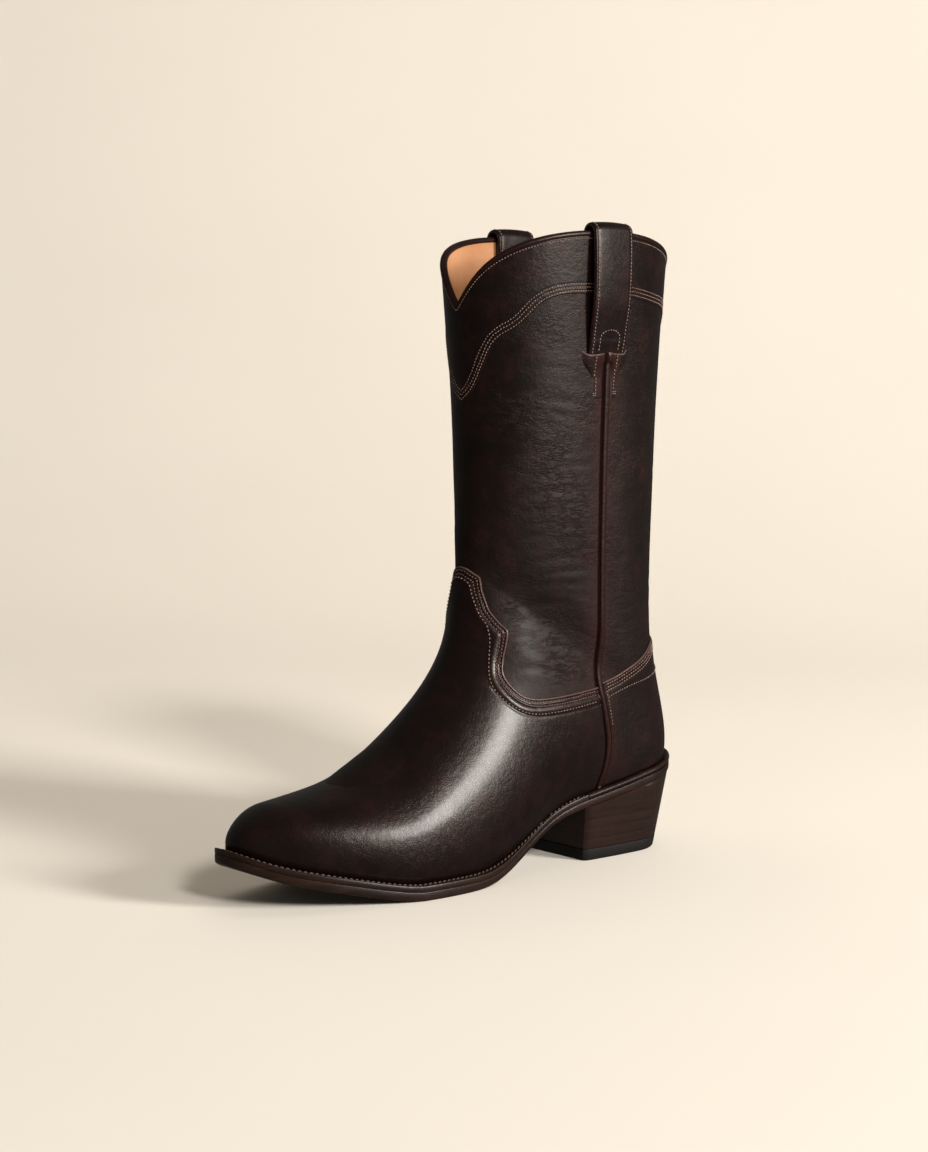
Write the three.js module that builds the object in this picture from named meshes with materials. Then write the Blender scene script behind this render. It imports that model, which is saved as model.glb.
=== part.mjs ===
// A stovepipe western boot, for the left foot, built from the last up: an upper of one hollow wall
// with the vamp, counter and collar yoke laid on it, and under it the insole, welt, outsole and
// stacked heel. Millimetres, +Z up, the toe towards -Y and the outer side of the boot towards +X.
import * as THREE from 'three';

// Driving sizes of the last and of the leg.
const lastLength = 297;
const ballWidth = 90;
const instepHeight = 131;
const heelHeight = 41;
const toeSpring = 26.5;
const toeSwing = 7;
const rimHeight = 362;
const shaftWidth = 86;
const frontDip = 31.5;
const backDip = 15;
const sideDip = 10;

// Thicknesses of what the boot is made from.
const wall = 2.4;
const overlay = 1.2;
const weltThick = 3;
const insoleThick = 3;
const insoleBevel = 2;
const soleThick = 5;
const waistThick = 3.6;
const topLiftThick = 7;
const liftThick = 6;
const liftCount = 3;
const pipingWidth = 3;
const pipingHeight = 1.9;
const bindingDepth = 4.5;
const bindingThick = 1.1;
const strapWidth = 29;
const strapThick = 2.8;
const strapRise = 0.3;
const strapBow = 1.6;
const strapDrop = 67;
const strapSewn = 9;
const strapInsideDrop = 56;
const strapSettle = 11;

// The one clearance: curved pieces that lie on each other stay this far apart.
const clearance = 0.3;

// How far the sole's edge stands out from the foot of the upper.
const weltMargin = 6.8;
const waistMargin = 2.8;
const seatMargin = 4.2;
// How far the welt reaches in under the wall.
const weltReach = 5;

const rad = THREE.MathUtils.degToRad;
const clamp = THREE.MathUtils.clamp;
const lerp = THREE.MathUtils.lerp;
const smooth = (t) => THREE.MathUtils.smoothstep(t, 0, 1);

// A quarter of a circle, from standing upright at 0 to lying level at 1.
const quarterRound = (t) => Math.sqrt(Math.max(0, 1 - (1 - clamp(t, 0, 1)) ** 2));

// A smooth line through a short table: a natural cubic spline.
function curve(xs, ys) {
  const last = xs.length - 1;
  const step = xs.slice(1).map((x, i) => x - xs[i]);
  const lean = new Array(last + 1).fill(0);
  const bend = new Array(last + 1).fill(0);
  for (let i = 1; i < last; i++) {
    const pull = 3 * ((ys[i + 1] - ys[i]) / step[i] - (ys[i] - ys[i - 1]) / step[i - 1]);
    const stiff = 2 * (xs[i + 1] - xs[i - 1]) - step[i - 1] * lean[i - 1];
    lean[i] = step[i] / stiff;
    bend[i] = (pull - step[i - 1] * bend[i - 1]) / stiff;
  }
  for (let i = last - 1; i > 0; i--) bend[i] -= lean[i] * bend[i + 1];
  return (x) => {
    let i = 0;
    while (i < last - 1 && x > xs[i + 1]) i++;
    const d = x - xs[i];
    const slope = (ys[i + 1] - ys[i]) / step[i] - (step[i] * (2 * bend[i] + bend[i + 1])) / 3;
    const twist = (bend[i + 1] - bend[i]) / (3 * step[i]);
    return ys[i] + slope * d + bend[i] * d * d + twist * d ** 3;
  };
}
const column = (rows, index) => rows.map((row) => row[index]);

// The underside of the outsole, from the heel to the toe tip.
// along: share of the last's length; heel: share of the heel's height; toe: share of the toe spring;
// thick: 1 where the outsole has its full thickness, 0 where it is skived down to the waist's.
const soleTable = [
  // along  heel   toe    thick
  [-0.030, 1.185, 0.000, 1.0],
  [0.220, 0.850, 0.000, 0.6],
  [0.337, 0.665, 0.000, 0.0],
  [0.438, 0.298, 0.000, 0.1],
  [0.539, 0.032, 0.000, 0.7],
  [0.610, 0.000, 0.000, 1.0],
  [0.700, 0.000, 0.000, 1.0],
  [0.775, 0.000, 0.138, 1.0],
  [0.875, 0.000, 0.395, 1.0],
  [0.960, 0.000, 0.655, 1.0],
  [1.030, 0.000, 1.000, 1.0],
];
const soleAlong = column(soleTable, 0).map((share) => share * lastLength);
const soleLine = curve(soleAlong, soleTable.map(([, heel, toe]) => heel * heelHeight + toe * toeSpring));
const soleShare = curve(soleAlong, column(soleTable, 3));
const underside = (along) => Math.max(0, soleLine(along));
const soleTop = (along) => underside(along) + lerp(waistThick, soleThick, clamp(soleShare(along), 0, 1));
const weltFoot = (along) => soleTop(along) + clearance;
const weltTop = (along) => weltFoot(along) + weltThick;
// The feather line, where the wall of the upper stands on the welt.
const feather = (along) => weltTop(along) + clearance;

// A height by level: 0 at the ground line given, 1 at the top of the instep, 2 at the rim.
function heightAt(level, ground) {
  if (level <= 1) return lerp(ground, instepHeight, level);
  return lerp(instepHeight, rimHeight, level - 1);
}

// The back line of the boot, from the heel seat to the rim.
// level: height above the seat; along: how far forward it lies, and round: how deep the back is
// rounded off in plan, both as shares of the last's length.
const seatAlong = -0.018 * lastLength;
const seat = feather(seatAlong);
const backTable = [
  // level  along    round
  [0.000, -0.0180, 0.108],
  [0.125, -0.0190, 0.112],
  [0.350, -0.0085, 0.122],
  [0.660, 0.0090, 0.141],
  [0.985, 0.0180, 0.155],
  [1.124, 0.0185, 0.168],
  [1.346, 0.0120, 0.178],
  [1.610, 0.0010, 0.195],
  [2.000, -0.0240, 0.222],
];
const backHeights = column(backTable, 0).map((level) => heightAt(level, seat));
const backAlong = curve(backHeights, column(backTable, 1).map((share) => share * lastLength));
const backRound = curve(backHeights, column(backTable, 2).map((share) => share * lastLength));

// The sections, fanned from the toe over the instep and heel and up the leg. Each is a straight line
// in the side view, from a bottom point to the ridge at the front of the boot.
// foot: bottom point along the feather line, share of the last's length, up to the heel corner;
// back: bottom point up the back line, by level, after it; along: ridge point, share of the last's
// length; level: ridge height; outer, inner: half widths as shares of half the ball's width, and of
// half the shaft's after the heel corner; widest: where along the line; base: width left at the
// bottom; dome: fullness above the widest place.
const heelCorner = 8;
const sectionTable = [
  // foot   back    along   level   outer  inner  widest base  dome
  [1.000, null, 1.0000, 0.200, 0.770, 0.750, 0.30, 0.97, 0.30],
  [0.902, null, 0.9080, 0.290, 0.889, 0.872, 0.28, 0.97, 0.28],
  [0.791, null, 0.8150, 0.361, 0.944, 0.939, 0.25, 0.96, 0.22],
  [0.673, null, 0.7165, 0.468, 0.990, 0.984, 0.24, 0.95, 0.10],
  [0.539, null, 0.6180, 0.653, 0.988, 0.951, 0.25, 0.90, -0.02],
  [0.404, null, 0.5440, 0.842, 0.923, 0.871, 0.27, 0.83, -0.10],
  [0.276, null, 0.5020, 1.014, 0.847, 0.823, 0.30, 0.84, -0.10],
  [0.152, null, 0.4895, 1.102, 0.818, 0.808, 0.33, 0.90, -0.06],
  [-0.018, null, 0.4820, 1.178, 0.805, 0.805, 0.36, 0.95, 0.00],
  [null, 0.33, 0.4790, 1.258, 0.845, 0.845, 0.42, 1.00, 0.02],
  [null, 0.76, 0.4760, 1.338, 0.856, 0.856, 0.46, 1.00, 0.05],
  [null, 1.08, 0.4765, 1.444, 0.870, 0.870, 0.48, 1.00, 0.08],
  [null, 1.37, 0.4815, 1.636, 0.890, 0.890, 0.50, 1.00, 0.10],
  [null, 2.00, 0.5040, 2.000, 0.992, 0.992, 0.50, 1.00, 0.12],
];
const lastRow = sectionTable.length - 1;
const rowNumbers = sectionTable.map((row, index) => index);
const footRows = rowNumbers.slice(0, heelCorner + 1);
const legRows = rowNumbers.slice(heelCorner);
const footLine = curve(footRows, footRows.map((i) => sectionTable[i][0] * lastLength));
const legLine = curve(legRows, legRows.map((i) => heightAt(sectionTable[i][1] ?? 0, seat)));
const ridgeAlong = curve(rowNumbers, column(sectionTable, 2).map((share) => share * lastLength));
const ridgeHeight = curve(rowNumbers, sectionTable.map((row) => {
  return heightAt(row[3], feather(row[2] * lastLength));
}));
const halfSpan = (row) => (row < heelCorner ? ballWidth : shaftWidth) / 2;
const outerHalf = curve(rowNumbers, rowNumbers.map((i) => sectionTable[i][4] * halfSpan(i)));
const innerHalf = curve(rowNumbers, rowNumbers.map((i) => sectionTable[i][5] * halfSpan(i)));
const widestShare = curve(rowNumbers, column(sectionTable, 6));
const baseShare = curve(rowNumbers, column(sectionTable, 7));
const domeShare = curve(rowNumbers, column(sectionTable, 8));

const toeRound = 0.088 * lastLength;
const toeTaper = 0.354 * lastLength;
const swingStart = 0.37 * lastLength;

function bottomPoint(row) {
  if (row <= heelCorner) {
    const along = footLine(row);
    return [along, feather(along)];
  }
  const height = legLine(row);
  return [backAlong(height), height];
}
function ridgePoint(row) {
  const along = ridgeAlong(row);
  const full = row > 5 ? 1 : quarterRound((lastLength - along) / toeRound);
  return [along, lerp(feather(Math.min(along, lastLength)), ridgeHeight(row), full)];
}

// Which section line a point of the side view lies on, and how far up that line.
function sectionAt(along, height) {
  let low = 0;
  let high = lastRow;
  for (let turn = 0; turn < 34; turn++) {
    const middle = (low + high) / 2;
    const [bottomAlong, bottomHeight] = bottomPoint(middle);
    const [topAlong, topHeight] = ridgePoint(middle);
    const before = (topAlong - bottomAlong) * (height - bottomHeight)
      - (topHeight - bottomHeight) * (along - bottomAlong);
    if (before < 0) high = middle;
    else low = middle;
  }
  const row = (low + high) / 2;
  const [bottomAlong, bottomHeight] = bottomPoint(row);
  const [topAlong, topHeight] = ridgePoint(row);
  const dx = topAlong - bottomAlong;
  const dz = topHeight - bottomHeight;
  const share = ((along - bottomAlong) * dx + (height - bottomHeight) * dz) / Math.max(dx * dx + dz * dz, 1e-6);
  return [row, clamp(share, 0, 1)];
}

// The boot's half width at a point of its side view.
function halfWidth(along, height, side) {
  const [row, share] = sectionAt(along, height);
  const full = side > 0 ? outerHalf(row) : innerHalf(row);
  const widest = widestShare(row);
  const up = clamp((share - widest) / (1 - widest), 0, 1);
  const down = clamp((widest - share) / widest, 0, 1);
  const above = Math.sqrt(Math.max(0, 1 - up * up)) * (1 + domeShare(row) * up * up);
  const below = 1 - (1 - baseShare(row)) * down * down;
  const atBack = quarterRound((along - backAlong(height)) / backRound(height));
  const atToe = quarterRound((lastLength - along) / toeTaper);
  return full * above * below * atBack * atToe;
}
function centreLine(along) {
  const share = clamp((along - swingStart) / (lastLength - swingStart), 0, 1);
  return -toeSwing * share ** 1.8;
}

// The rings of the pattern, from the feather line (rise 0) to the collar (rise 1). Each runs straight
// in the side view from the back line to the ridge.
const ringTable = [
  // rise  back   ridge row
  [0.00, 0.000, 0.00],
  [0.06, 0.075, 0.35],
  [0.13, 0.165, 1.00],
  [0.21, 0.265, 2.00],
  [0.30, 0.400, 3.10],
  [0.40, 0.575, 4.30],
  [0.50, 0.812, 5.70],
  [0.60, 1.062, 7.80],
  [0.70, 1.258, 9.20],
  [0.85, 1.591, 11.6],
  [1.00, 2.000, 13.0],
];
const ringBack = curve(column(ringTable, 0), ringTable.map(([, level]) => heightAt(level, seat)));
const ringRidge = curve(column(ringTable, 0), column(ringTable, 2));

// How far the collar line lies under the rim, from the V at the front to the dip at the back.
function collarDrop(turn) {
  const front = Math.abs(Math.PI - turn);
  const back = Math.min(turn, 2 * Math.PI - turn);
  return frontDip * Math.exp(-((front / 0.42) ** 1.25)) + backDip * Math.exp(-((back / 0.45) ** 1.4))
    + sideDip * Math.cos(turn) ** 2;
}
const ridgeSteps = 240;
const ridgeLine = Array.from({ length: ridgeSteps + 1 }, (unused, i) => {
  return ridgePoint(lerp(heelCorner - 1, lastRow, i / ridgeSteps));
});
// The ridge above the ankle by height instead of by section.
function ridgeAlongAt(height) {
  let i = 0;
  while (i < ridgeSteps - 1 && ridgeLine[i + 1][1] < height) i++;
  const [lowAlong, low] = ridgeLine[i];
  const [highAlong, high] = ridgeLine[i + 1];
  return lerp(lowAlong, highAlong, clamp((height - low) / (high - low), 0, 1));
}

const dropStart = 0.62;
const footFade = 0.55;
function sidePoint(turn, rise) {
  const share = (1 - Math.cos(turn)) / 2;
  const backHeight = ringBack(rise);
  const [frontAlong, frontHeight] = ridgePoint(ringRidge(rise));
  let along = lerp(backAlong(backHeight), frontAlong, share);
  let height = lerp(backHeight, frontHeight, share);
  const footAlong = lerp(seatAlong, lastLength, share);
  const sag = feather(footAlong) - lerp(seat, feather(lastLength), share);
  height += sag * clamp(1 - rise / footFade, 0, 1) ** 2;
  height -= collarDrop(turn) * clamp((rise - dropStart) / (1 - dropStart), 0, 1) ** 1.5;
  const level = lerp(backAlong(height), ridgeAlongAt(height), share);
  along = lerp(along, level, smooth((rise - 0.6) / 0.12));
  return [along, height];
}

// The side seams, where the front and back of the boot are joined.
const seamTable = [
  // rise  turn in degrees from the back line
  [0.00, 59.3],
  [0.08, 59.6],
  [0.20, 63.0],
  [0.293, 67.8],
  [0.367, 73.6],
  [0.447, 80.4],
  [0.537, 84.6],
  [0.657, 86.8],
  [0.76, 88.0],
  [1.00, 88.5],
];
const seamTurn = curve(column(seamTable, 0), column(seamTable, 1).map(rad));

// The pattern's second coordinate is a panel number: 0 at the back line, 1 at the outer side seam,
// 2 at the ridge, 3 at the inner side seam, 4 at the back line again.
function turnAt(panel, rise) {
  const around = ((panel % 4) + 4) % 4;
  const half = around > 2 ? 4 - around : around;
  const seam = seamTurn(rise);
  const turn = half < 1 ? half * seam : lerp(seam, Math.PI, half - 1);
  return around > 2 ? 2 * Math.PI - turn : turn;
}
function place(panel, rise) {
  const turn = turnAt(panel, rise);
  const [along, height] = sidePoint(turn, rise);
  const side = Math.sin(turn) >= 0 ? 1 : -1;
  return new THREE.Vector3(centreLine(along) + side * halfWidth(along, height, side), -along, height);
}
// The upward run, the outward normal and the forward run of the wall at a place of the pattern. At
// the feather line the normal is level, so that the wall stands square on the welt.
function frameAt(panel, rise) {
  const stepPanel = 0.008;
  const stepRise = 0.004;
  const up = place(panel, Math.min(1, rise + stepRise)).sub(place(panel, Math.max(0, rise - stepRise)));
  const across = place(panel + stepPanel, rise).sub(place(panel - stepPanel, rise));
  const out = up.clone().cross(across).normalize();
  out.z *= smooth(rise / 0.05);
  out.normalize();
  return { up: up.normalize(), out, across: across.normalize() };
}
// A place so far out from the wall. Along the feather line it keeps to the top of the welt.
function skin(panel, rise, lift = 0) {
  const point = place(panel, rise);
  if (lift === 0) return point;
  const ground = feather(-point.y);
  point.addScaledVector(frameAt(panel, rise).out, lift);
  point.z += (feather(-point.y) - ground) * (1 - smooth(rise / 0.05));
  return point;
}

// A closed solid between two nets of points with the same rows: an over face and an under face.
// A row that shrinks to one point closes the solid there.
function solid(name, rows, finish, wraps = false) {
  const points = [];
  const known = new Map();
  const index = (point) => {
    const key = point.toArray().map((value) => Math.round(value * 1e4)).join();
    if (!known.has(key)) {
      known.set(key, points.length);
      points.push(point);
    }
    return known.get(key);
  };
  const faces = [];
  const face = (a, b, c) => {
    if (a !== b && b !== c && c !== a) faces.push([a, b, c]);
  };
  const quad = (a, b, c, d) => {
    face(a, b, c);
    face(a, c, d);
  };
  const net = rows.map(({ over, under }) => ({ over: over.map(index), under: under.map(index) }));
  const count = net.length;
  const end = net[0].over.length - 1;
  for (let i = 0; i < (wraps ? count : count - 1); i++) {
    const here = net[i];
    const next = net[(i + 1) % count];
    for (let j = 0; j < end; j++) {
      quad(here.over[j], next.over[j], next.over[j + 1], here.over[j + 1]);
      quad(here.under[j], here.under[j + 1], next.under[j + 1], next.under[j]);
    }
    quad(here.over[0], here.under[0], next.under[0], next.over[0]);
    quad(here.over[end], next.over[end], next.under[end], here.under[end]);
  }
  if (!wraps) {
    const first = net[0];
    const last = net[count - 1];
    for (let j = 0; j < end; j++) {
      quad(first.over[j], first.over[j + 1], first.under[j + 1], first.under[j]);
      quad(last.over[j], last.under[j], last.under[j + 1], last.over[j + 1]);
    }
  }
  const volume = faces.reduce((sum, [a, b, c]) => {
    return sum + points[a].dot(points[b].clone().cross(points[c]));
  }, 0);
  if (volume < 0) faces.forEach((corners) => corners.reverse());
  const geometry = new THREE.BufferGeometry();
  geometry.setAttribute('position', new THREE.Float32BufferAttribute(points.flatMap((p) => p.toArray()), 3));
  geometry.setIndex(faces.flat());
  geometry.computeVertexNormals();
  const mesh = new THREE.Mesh(geometry, new THREE.MeshStandardMaterial(finish));
  mesh.name = name;
  return mesh;
}
const range = (count, from, to) => {
  return Array.from({ length: count + 1 }, (unused, i) => lerp(from, to, i / count));
};

const leather = { color: 0x2b1a17, roughness: 0.38, metalness: 0 };
const edgeLeather = { color: 0x3a2119, roughness: 0.42, metalness: 0 };
const tanLeather = { color: 0xc98f5c, roughness: 0.6, metalness: 0 };
const cork = { color: 0x9c7448, roughness: 0.9, metalness: 0 };
const rubber = { color: 0x15110f, roughness: 0.7, metalness: 0 };

// The columns of the pattern, on one half: close together at the bends of the vamp's top edge.
const backPanels = [0, 0.11, 0.22, 0.33, 0.45, 0.57, 0.69, 0.82, 0.95];
const frontPanels = [
  1.05, 1.10, 1.16, 1.215, 1.27, 1.32, 1.37, 1.42, 1.47, 1.53, 1.58, 1.64, 1.71, 1.77, 1.83, 1.91,
];
const halfPanels = [...backPanels, 1, ...frontPanels];
const mirror = (panels) => [...panels].reverse().map((panel) => 4 - panel);
const allPanels = [...halfPanels, 2, ...mirror(halfPanels.slice(1))];

// The rings of the pattern, from the feather line to the collar: close together where the toe rounds
// over, and again where the vamp and the counter end.
const allRises = [
  0, 0.018, 0.05, 0.10, 0.16, 0.225, 0.29, 0.355, ...range(6, 0.392, 0.6), ...range(7, 0.65, 1),
];

// The upper: the lined wall of the whole boot, open at the collar and underneath.
function upper() {
  const rows = allPanels.map((panel) => ({
    over: allRises.map((rise) => skin(panel, rise)),
    under: allRises.map((rise) => skin(panel, rise, -wall)),
  }));
  return solid('upper', rows, leather, true);
}

// A piece laid on the upper, between two edges of the pattern given by panel. It follows the wall's
// own rings as far as its edges, so that their faces lie side by side.
function laidOn(name, panels, bottomEdge, topEdge, wraps = false) {
  const rows = panels.map((panel) => {
    const bottom = bottomEdge(panel);
    const top = topEdge(panel);
    const rises = [bottom, ...allRises.slice(1, -1).map((rise) => clamp(rise, bottom, top)), top];
    return {
      over: rises.map((rise) => skin(panel, rise, clearance + overlay)),
      under: rises.map((rise) => skin(panel, rise, clearance)),
    };
  });
  return solid(name, rows, leather, wraps);
}
const mirrored = (panel) => (panel > 2 ? 4 - panel : panel);

// The vamp: the foot's front piece, rising in a scalloped tongue over the instep.
const vampTable = [
  // panel  rise of the top edge
  [1.00, 0.428],
  [1.16, 0.423],
  [1.27, 0.420],
  [1.37, 0.426],
  [1.47, 0.450],
  [1.53, 0.474],
  [1.58, 0.531],
  [1.64, 0.543],
  [1.71, 0.566],
  [1.77, 0.602],
  [1.83, 0.611],
  [1.91, 0.617],
  [2.00, 0.620],
];
function tableLine(rows, x) {
  let i = 0;
  while (i < rows.length - 2 && x > rows[i + 1][0]) i++;
  const [fromX, fromY] = rows[i];
  const [toX, toY] = rows[i + 1];
  return lerp(fromY, toY, (x - fromX) / (toX - fromX));
}
// How many millimetres of wall there are to a panel, beside a place of the pattern.
function panelRun(panel, rise) {
  const probe = 0.05;
  return place(panel - probe, rise).distanceTo(place(panel + probe, rise)) / (2 * probe);
}
// The piping lies in a slot between the vamp and the counter, this wide each way in panels.
const slotHalf = (pipingWidth / 2 + 2 * clearance) / panelRun(0.9, 0.43);
function vamp() {
  const panels = allPanels.filter((panel) => panel > 1.01 && panel < 2.99);
  panels.unshift(1 + slotHalf);
  panels.push(3 - slotHalf);
  const top = (panel) => tableLine(vampTable, mirrored(panel));
  return laidOn('vamp', panels, () => 0, top);
}

// The counter: the piece round the heel, from side seam to side seam.
const counterTable = [
  // panel  rise of the top edge
  [0.00, 0.545],
  [0.22, 0.541],
  [0.45, 0.526],
  [0.69, 0.485],
  [0.82, 0.459],
  [1.00, 0.433],
];
function counter() {
  const backs = backPanels.slice(1, -1);
  const panels = [-1 + slotHalf, ...[...backs].reverse().map((panel) => -panel), 0, ...backs, 1 - slotHalf];
  const top = (panel) => tableLine(counterTable, Math.abs(panel));
  return laidOn('counter', panels, () => 0, top);
}

// The collar yoke: a scalloped band under the rim, with a point at the front and at the back.
const yokeTable = [
  // panel  depth of the lower edge under the collar line at the side, share of the shaft's width
  [0.00, 0.95],
  [0.11, 0.82],
  [0.22, 0.66],
  [0.33, 0.54],
  [0.57, 0.46],
  [0.82, 0.42],
  [1.16, 0.40],
  [1.32, 0.425],
  [1.42, 0.49],
  [1.53, 0.61],
  [1.64, 0.68],
  [1.71, 0.75],
  [1.77, 0.86],
  [1.83, 0.97],
  [2.00, 1.11],
];
// The rise at which a column of the pattern is at a given height.
function riseAtHeight(panel, height) {
  let low = 0.5;
  let high = 1;
  for (let turn = 0; turn < 30; turn++) {
    const middle = (low + high) / 2;
    if (place(panel, middle).z < height) low = middle;
    else high = middle;
  }
  return (low + high) / 2;
}
// The rise a given distance below the collar line, down the wall.
function riseBelowCollar(panel, distance) {
  const probe = 0.03;
  const run = place(panel, 1).distanceTo(place(panel, 1 - probe));
  return 1 - (distance / run) * probe;
}
function yoke() {
  const lower = (panel) => {
    return riseAtHeight(panel, rimHeight - tableLine(yokeTable, mirrored(panel)) * shaftWidth);
  };
  const upperEdge = (panel) => riseBelowCollar(panel, bindingDepth + clearance);
  return laidOn('collar_yoke', allPanels, lower, upperEdge, true);
}

// A place beside the collar line: so far above it up the wall, and so far out from it.
function besideCollar(panel, above, lift) {
  const { up, out } = frameAt(panel, 1);
  return place(panel, 1).addScaledVector(up, above).addScaledVector(out, lift);
}

// The rim binding: leather folded over the collar line.
function binding() {
  const outside = clearance + bindingThick;
  const inside = -wall - clearance - bindingThick;
  const crown = clearance + bindingThick;
  const rows = allPanels.map((panel) => {
    const at = (above, lift) => besideCollar(panel, above, lift);
    return {
      over: [
        at(-bindingDepth, outside),
        at(0, outside),
        at(crown, outside - bindingThick),
        at(crown, inside + bindingThick),
        at(0, inside),
        at(-bindingDepth, inside),
      ],
      under: [
        at(-bindingDepth, clearance),
        at(0, clearance),
        at(clearance, clearance),
        at(clearance, -wall - clearance),
        at(0, -wall - clearance),
        at(-bindingDepth, -wall - clearance),
      ],
    };
  });
  return solid('rim_binding', rows, leather, true);
}

// The piping in a side seam, a raised bead from under the pull strap down to the welt.
function piping(name, seamPanel) {
  const topRise = riseBelowCollar(seamPanel, strapDrop + clearance);
  const rises = [...allRises.filter((rise) => rise < topRise - 0.01), topRise];
  const half = pipingWidth / 2;
  const rows = rises.map((rise) => {
    const { across, out } = frameAt(seamPanel, rise);
    const root = place(seamPanel, rise);
    const at = (aside, lift) => root.clone().addScaledVector(across, aside).addScaledVector(out, lift);
    const foot = clearance + pipingHeight / 3;
    return {
      over: [at(-half, foot), at(0, clearance + pipingHeight), at(half, foot)],
      under: [at(-half, clearance), at(0, clearance), at(half, clearance)],
    };
  });
  return solid(name, rows, leather);
}

// A pull strap: a band sewn outside, carried over the rim and sewn again inside.
function pullStrap(name, seamPanel) {
  const half = strapWidth / 2 / panelRun(seamPanel, 1);
  const panels = range(4, seamPanel - half, seamPanel + half);
  const outside = clearance + Math.max(overlay, bindingThick) + clearance;
  const inside = -wall - clearance - bindingThick - clearance;
  const foldCentre = (outside + inside) / 2;
  const foldRadius = (outside - inside) / 2;
  const yokeDepth = tableLine(yokeTable, 1) * shaftWidth;
  const sewnFrom = strapDrop - strapSewn;
  const settled = (below) => {
    const bow = strapBow * Math.sin(Math.PI * clamp(below / sewnFrom, 0, 1)) ** 0.7;
    return lerp(outside, clearance, smooth((below - yokeDepth - 1) / (sewnFrom - yokeDepth - 1))) + bow;
  };
  const settledInside = (below) => lerp(inside, -wall - clearance, smooth((below - bindingDepth) / strapSettle));
  const rows = [];
  const addRow = (place) => rows.push({
    over: panels.map((panel) => place(panel, strapThick)),
    under: panels.map((panel) => place(panel, 0)),
  });
  const middle = (yokeDepth + sewnFrom) / 2;
  for (const below of [strapDrop, sewnFrom, middle, yokeDepth, yokeDepth * 0.55, bindingDepth]) {
    addRow((panel, thick) => skin(panel, riseBelowCollar(panel, below), settled(below) + thick));
  }
  for (const angle of range(6, 0, Math.PI)) {
    addRow((panel, thick) => {
      const radius = foldRadius + thick;
      return besideCollar(panel, strapRise + radius * Math.sin(angle), foldCentre + radius * Math.cos(angle));
    });
  }
  const settling = range(3, bindingDepth, bindingDepth + strapSettle);
  for (const below of [...settling, strapInsideDrop]) {
    addRow((panel, thick) => skin(panel, riseBelowCollar(panel, below), settledInside(below) - thick));
  }
  return solid(name, rows, leather);
}

// How far the edge of the bottom stands out from the feather line.
function edgeMargin(along) {
  const share = along / lastLength;
  const waist = lerp(seatMargin, waistMargin, smooth((share - 0.26) / 0.1));
  return lerp(waist, weltMargin, smooth((share - 0.38) / 0.2));
}
const breastPanel = 1.03;
const breastGap = 2 * clearance / panelRun(breastPanel, 0);

// A point of the bottom, in plan so far out from the feather line, at a height by its own along.
function bottomAt(panel, lift, height) {
  const point = skin(panel, 0, lift);
  point.z = height(-point.y);
  return point;
}
const atEdge = (panel, height, inset = 0) => {
  return bottomAt(panel, edgeMargin(-place(panel, 0).y) - inset, height);
};

// A slab of the bottom, from side to side, row by row from the back to the toe.
function slab(name, panels, point, finish) {
  const rows = panels.map((panel) => ({
    over: [point(panel, 1), point(4 - panel, 1)],
    under: [point(panel, 0), point(4 - panel, 0)],
  }));
  return solid(name, rows, finish);
}
const slabPanels = [...halfPanels, 2];

function outsole() {
  const point = (panel, top) => atEdge(panel, top ? soleTop : underside);
  return slab('outsole', slabPanels, point, edgeLeather);
}
function filler() {
  const point = (panel, top) => bottomAt(panel, -weltReach - clearance, top ? weltTop : weltFoot);
  return slab('filler', slabPanels, point, cork);
}
function insole() {
  const insoleTop = (along) => feather(along) + insoleThick;
  const edge = -wall - 2 * clearance;
  const point = (panel, top) => {
    return top ? bottomAt(panel, edge - insoleBevel, insoleTop) : bottomAt(panel, edge, feather);
  };
  return slab('insole', slabPanels, point, tanLeather);
}

// The welt, a strip sewn round the forefoot from heel breast to heel breast.
function welt() {
  const start = breastPanel + breastGap;
  const between = allPanels.filter((panel) => panel > start + 0.01 && panel < 4 - start - 0.01);
  const rows = [start, ...between, 4 - start].map((panel) => ({
    over: [bottomAt(panel, -weltReach, weltTop), atEdge(panel, weltTop)],
    under: [bottomAt(panel, -weltReach, weltFoot), atEdge(panel, weltFoot)],
  }));
  return solid('welt', rows, edgeLeather);
}

// The rand, the rounded strip that carries the welt's line on round the heel seat.
function heelRand() {
  const backs = backPanels.slice(1).concat(1);
  const panels = [-breastPanel, ...[...backs].reverse().map((panel) => -panel), 0, ...backs, breastPanel];
  const middle = (along) => (weltFoot(along) + weltTop(along)) / 2;
  const rows = panels.map((panel) => ({
    over: [bottomAt(panel, -weltReach, weltTop), atEdge(panel, weltTop, 1), atEdge(panel, middle)],
    under: [bottomAt(panel, -weltReach, weltFoot), atEdge(panel, weltFoot, 1), atEdge(panel, middle)],
  }));
  return solid('heel_rand', rows, edgeLeather);
}

// The heel: its outline under the seat, drawn in and moved forward towards the floor.
const heelBottomShare = 0.86;
const heelBackStep = 10;
const heelBreastStep = 2;
const heelInset = 0.8;
function heelPoint(panel, height) {
  const seatPoint = atEdge(panel, underside, heelInset);
  const breastAlong = -atEdge(breastPanel, underside, heelInset).y;
  const backLine = -atEdge(0, underside, heelInset).y;
  const along = breastPanel - Math.min(panel, 4 - panel) < 1e-6 ? breastAlong : -seatPoint.y;
  const top = underside(along) - clearance;
  const share = clamp(height / top, 0, 1);
  const forward = clamp((along - backLine) / (breastAlong - backLine), 0, 1);
  const step = lerp(heelBackStep, -heelBreastStep, forward);
  const z = Math.min(height, top);
  return new THREE.Vector3(seatPoint.x * lerp(heelBottomShare, 1, share), -along - step * (1 - share), z);
}
const heelPanels = [...backPanels, breastPanel];
function heelLayer(name, low, high, finish) {
  return slab(name, heelPanels, (panel, top) => heelPoint(panel, top ? high : low), finish);
}
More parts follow.
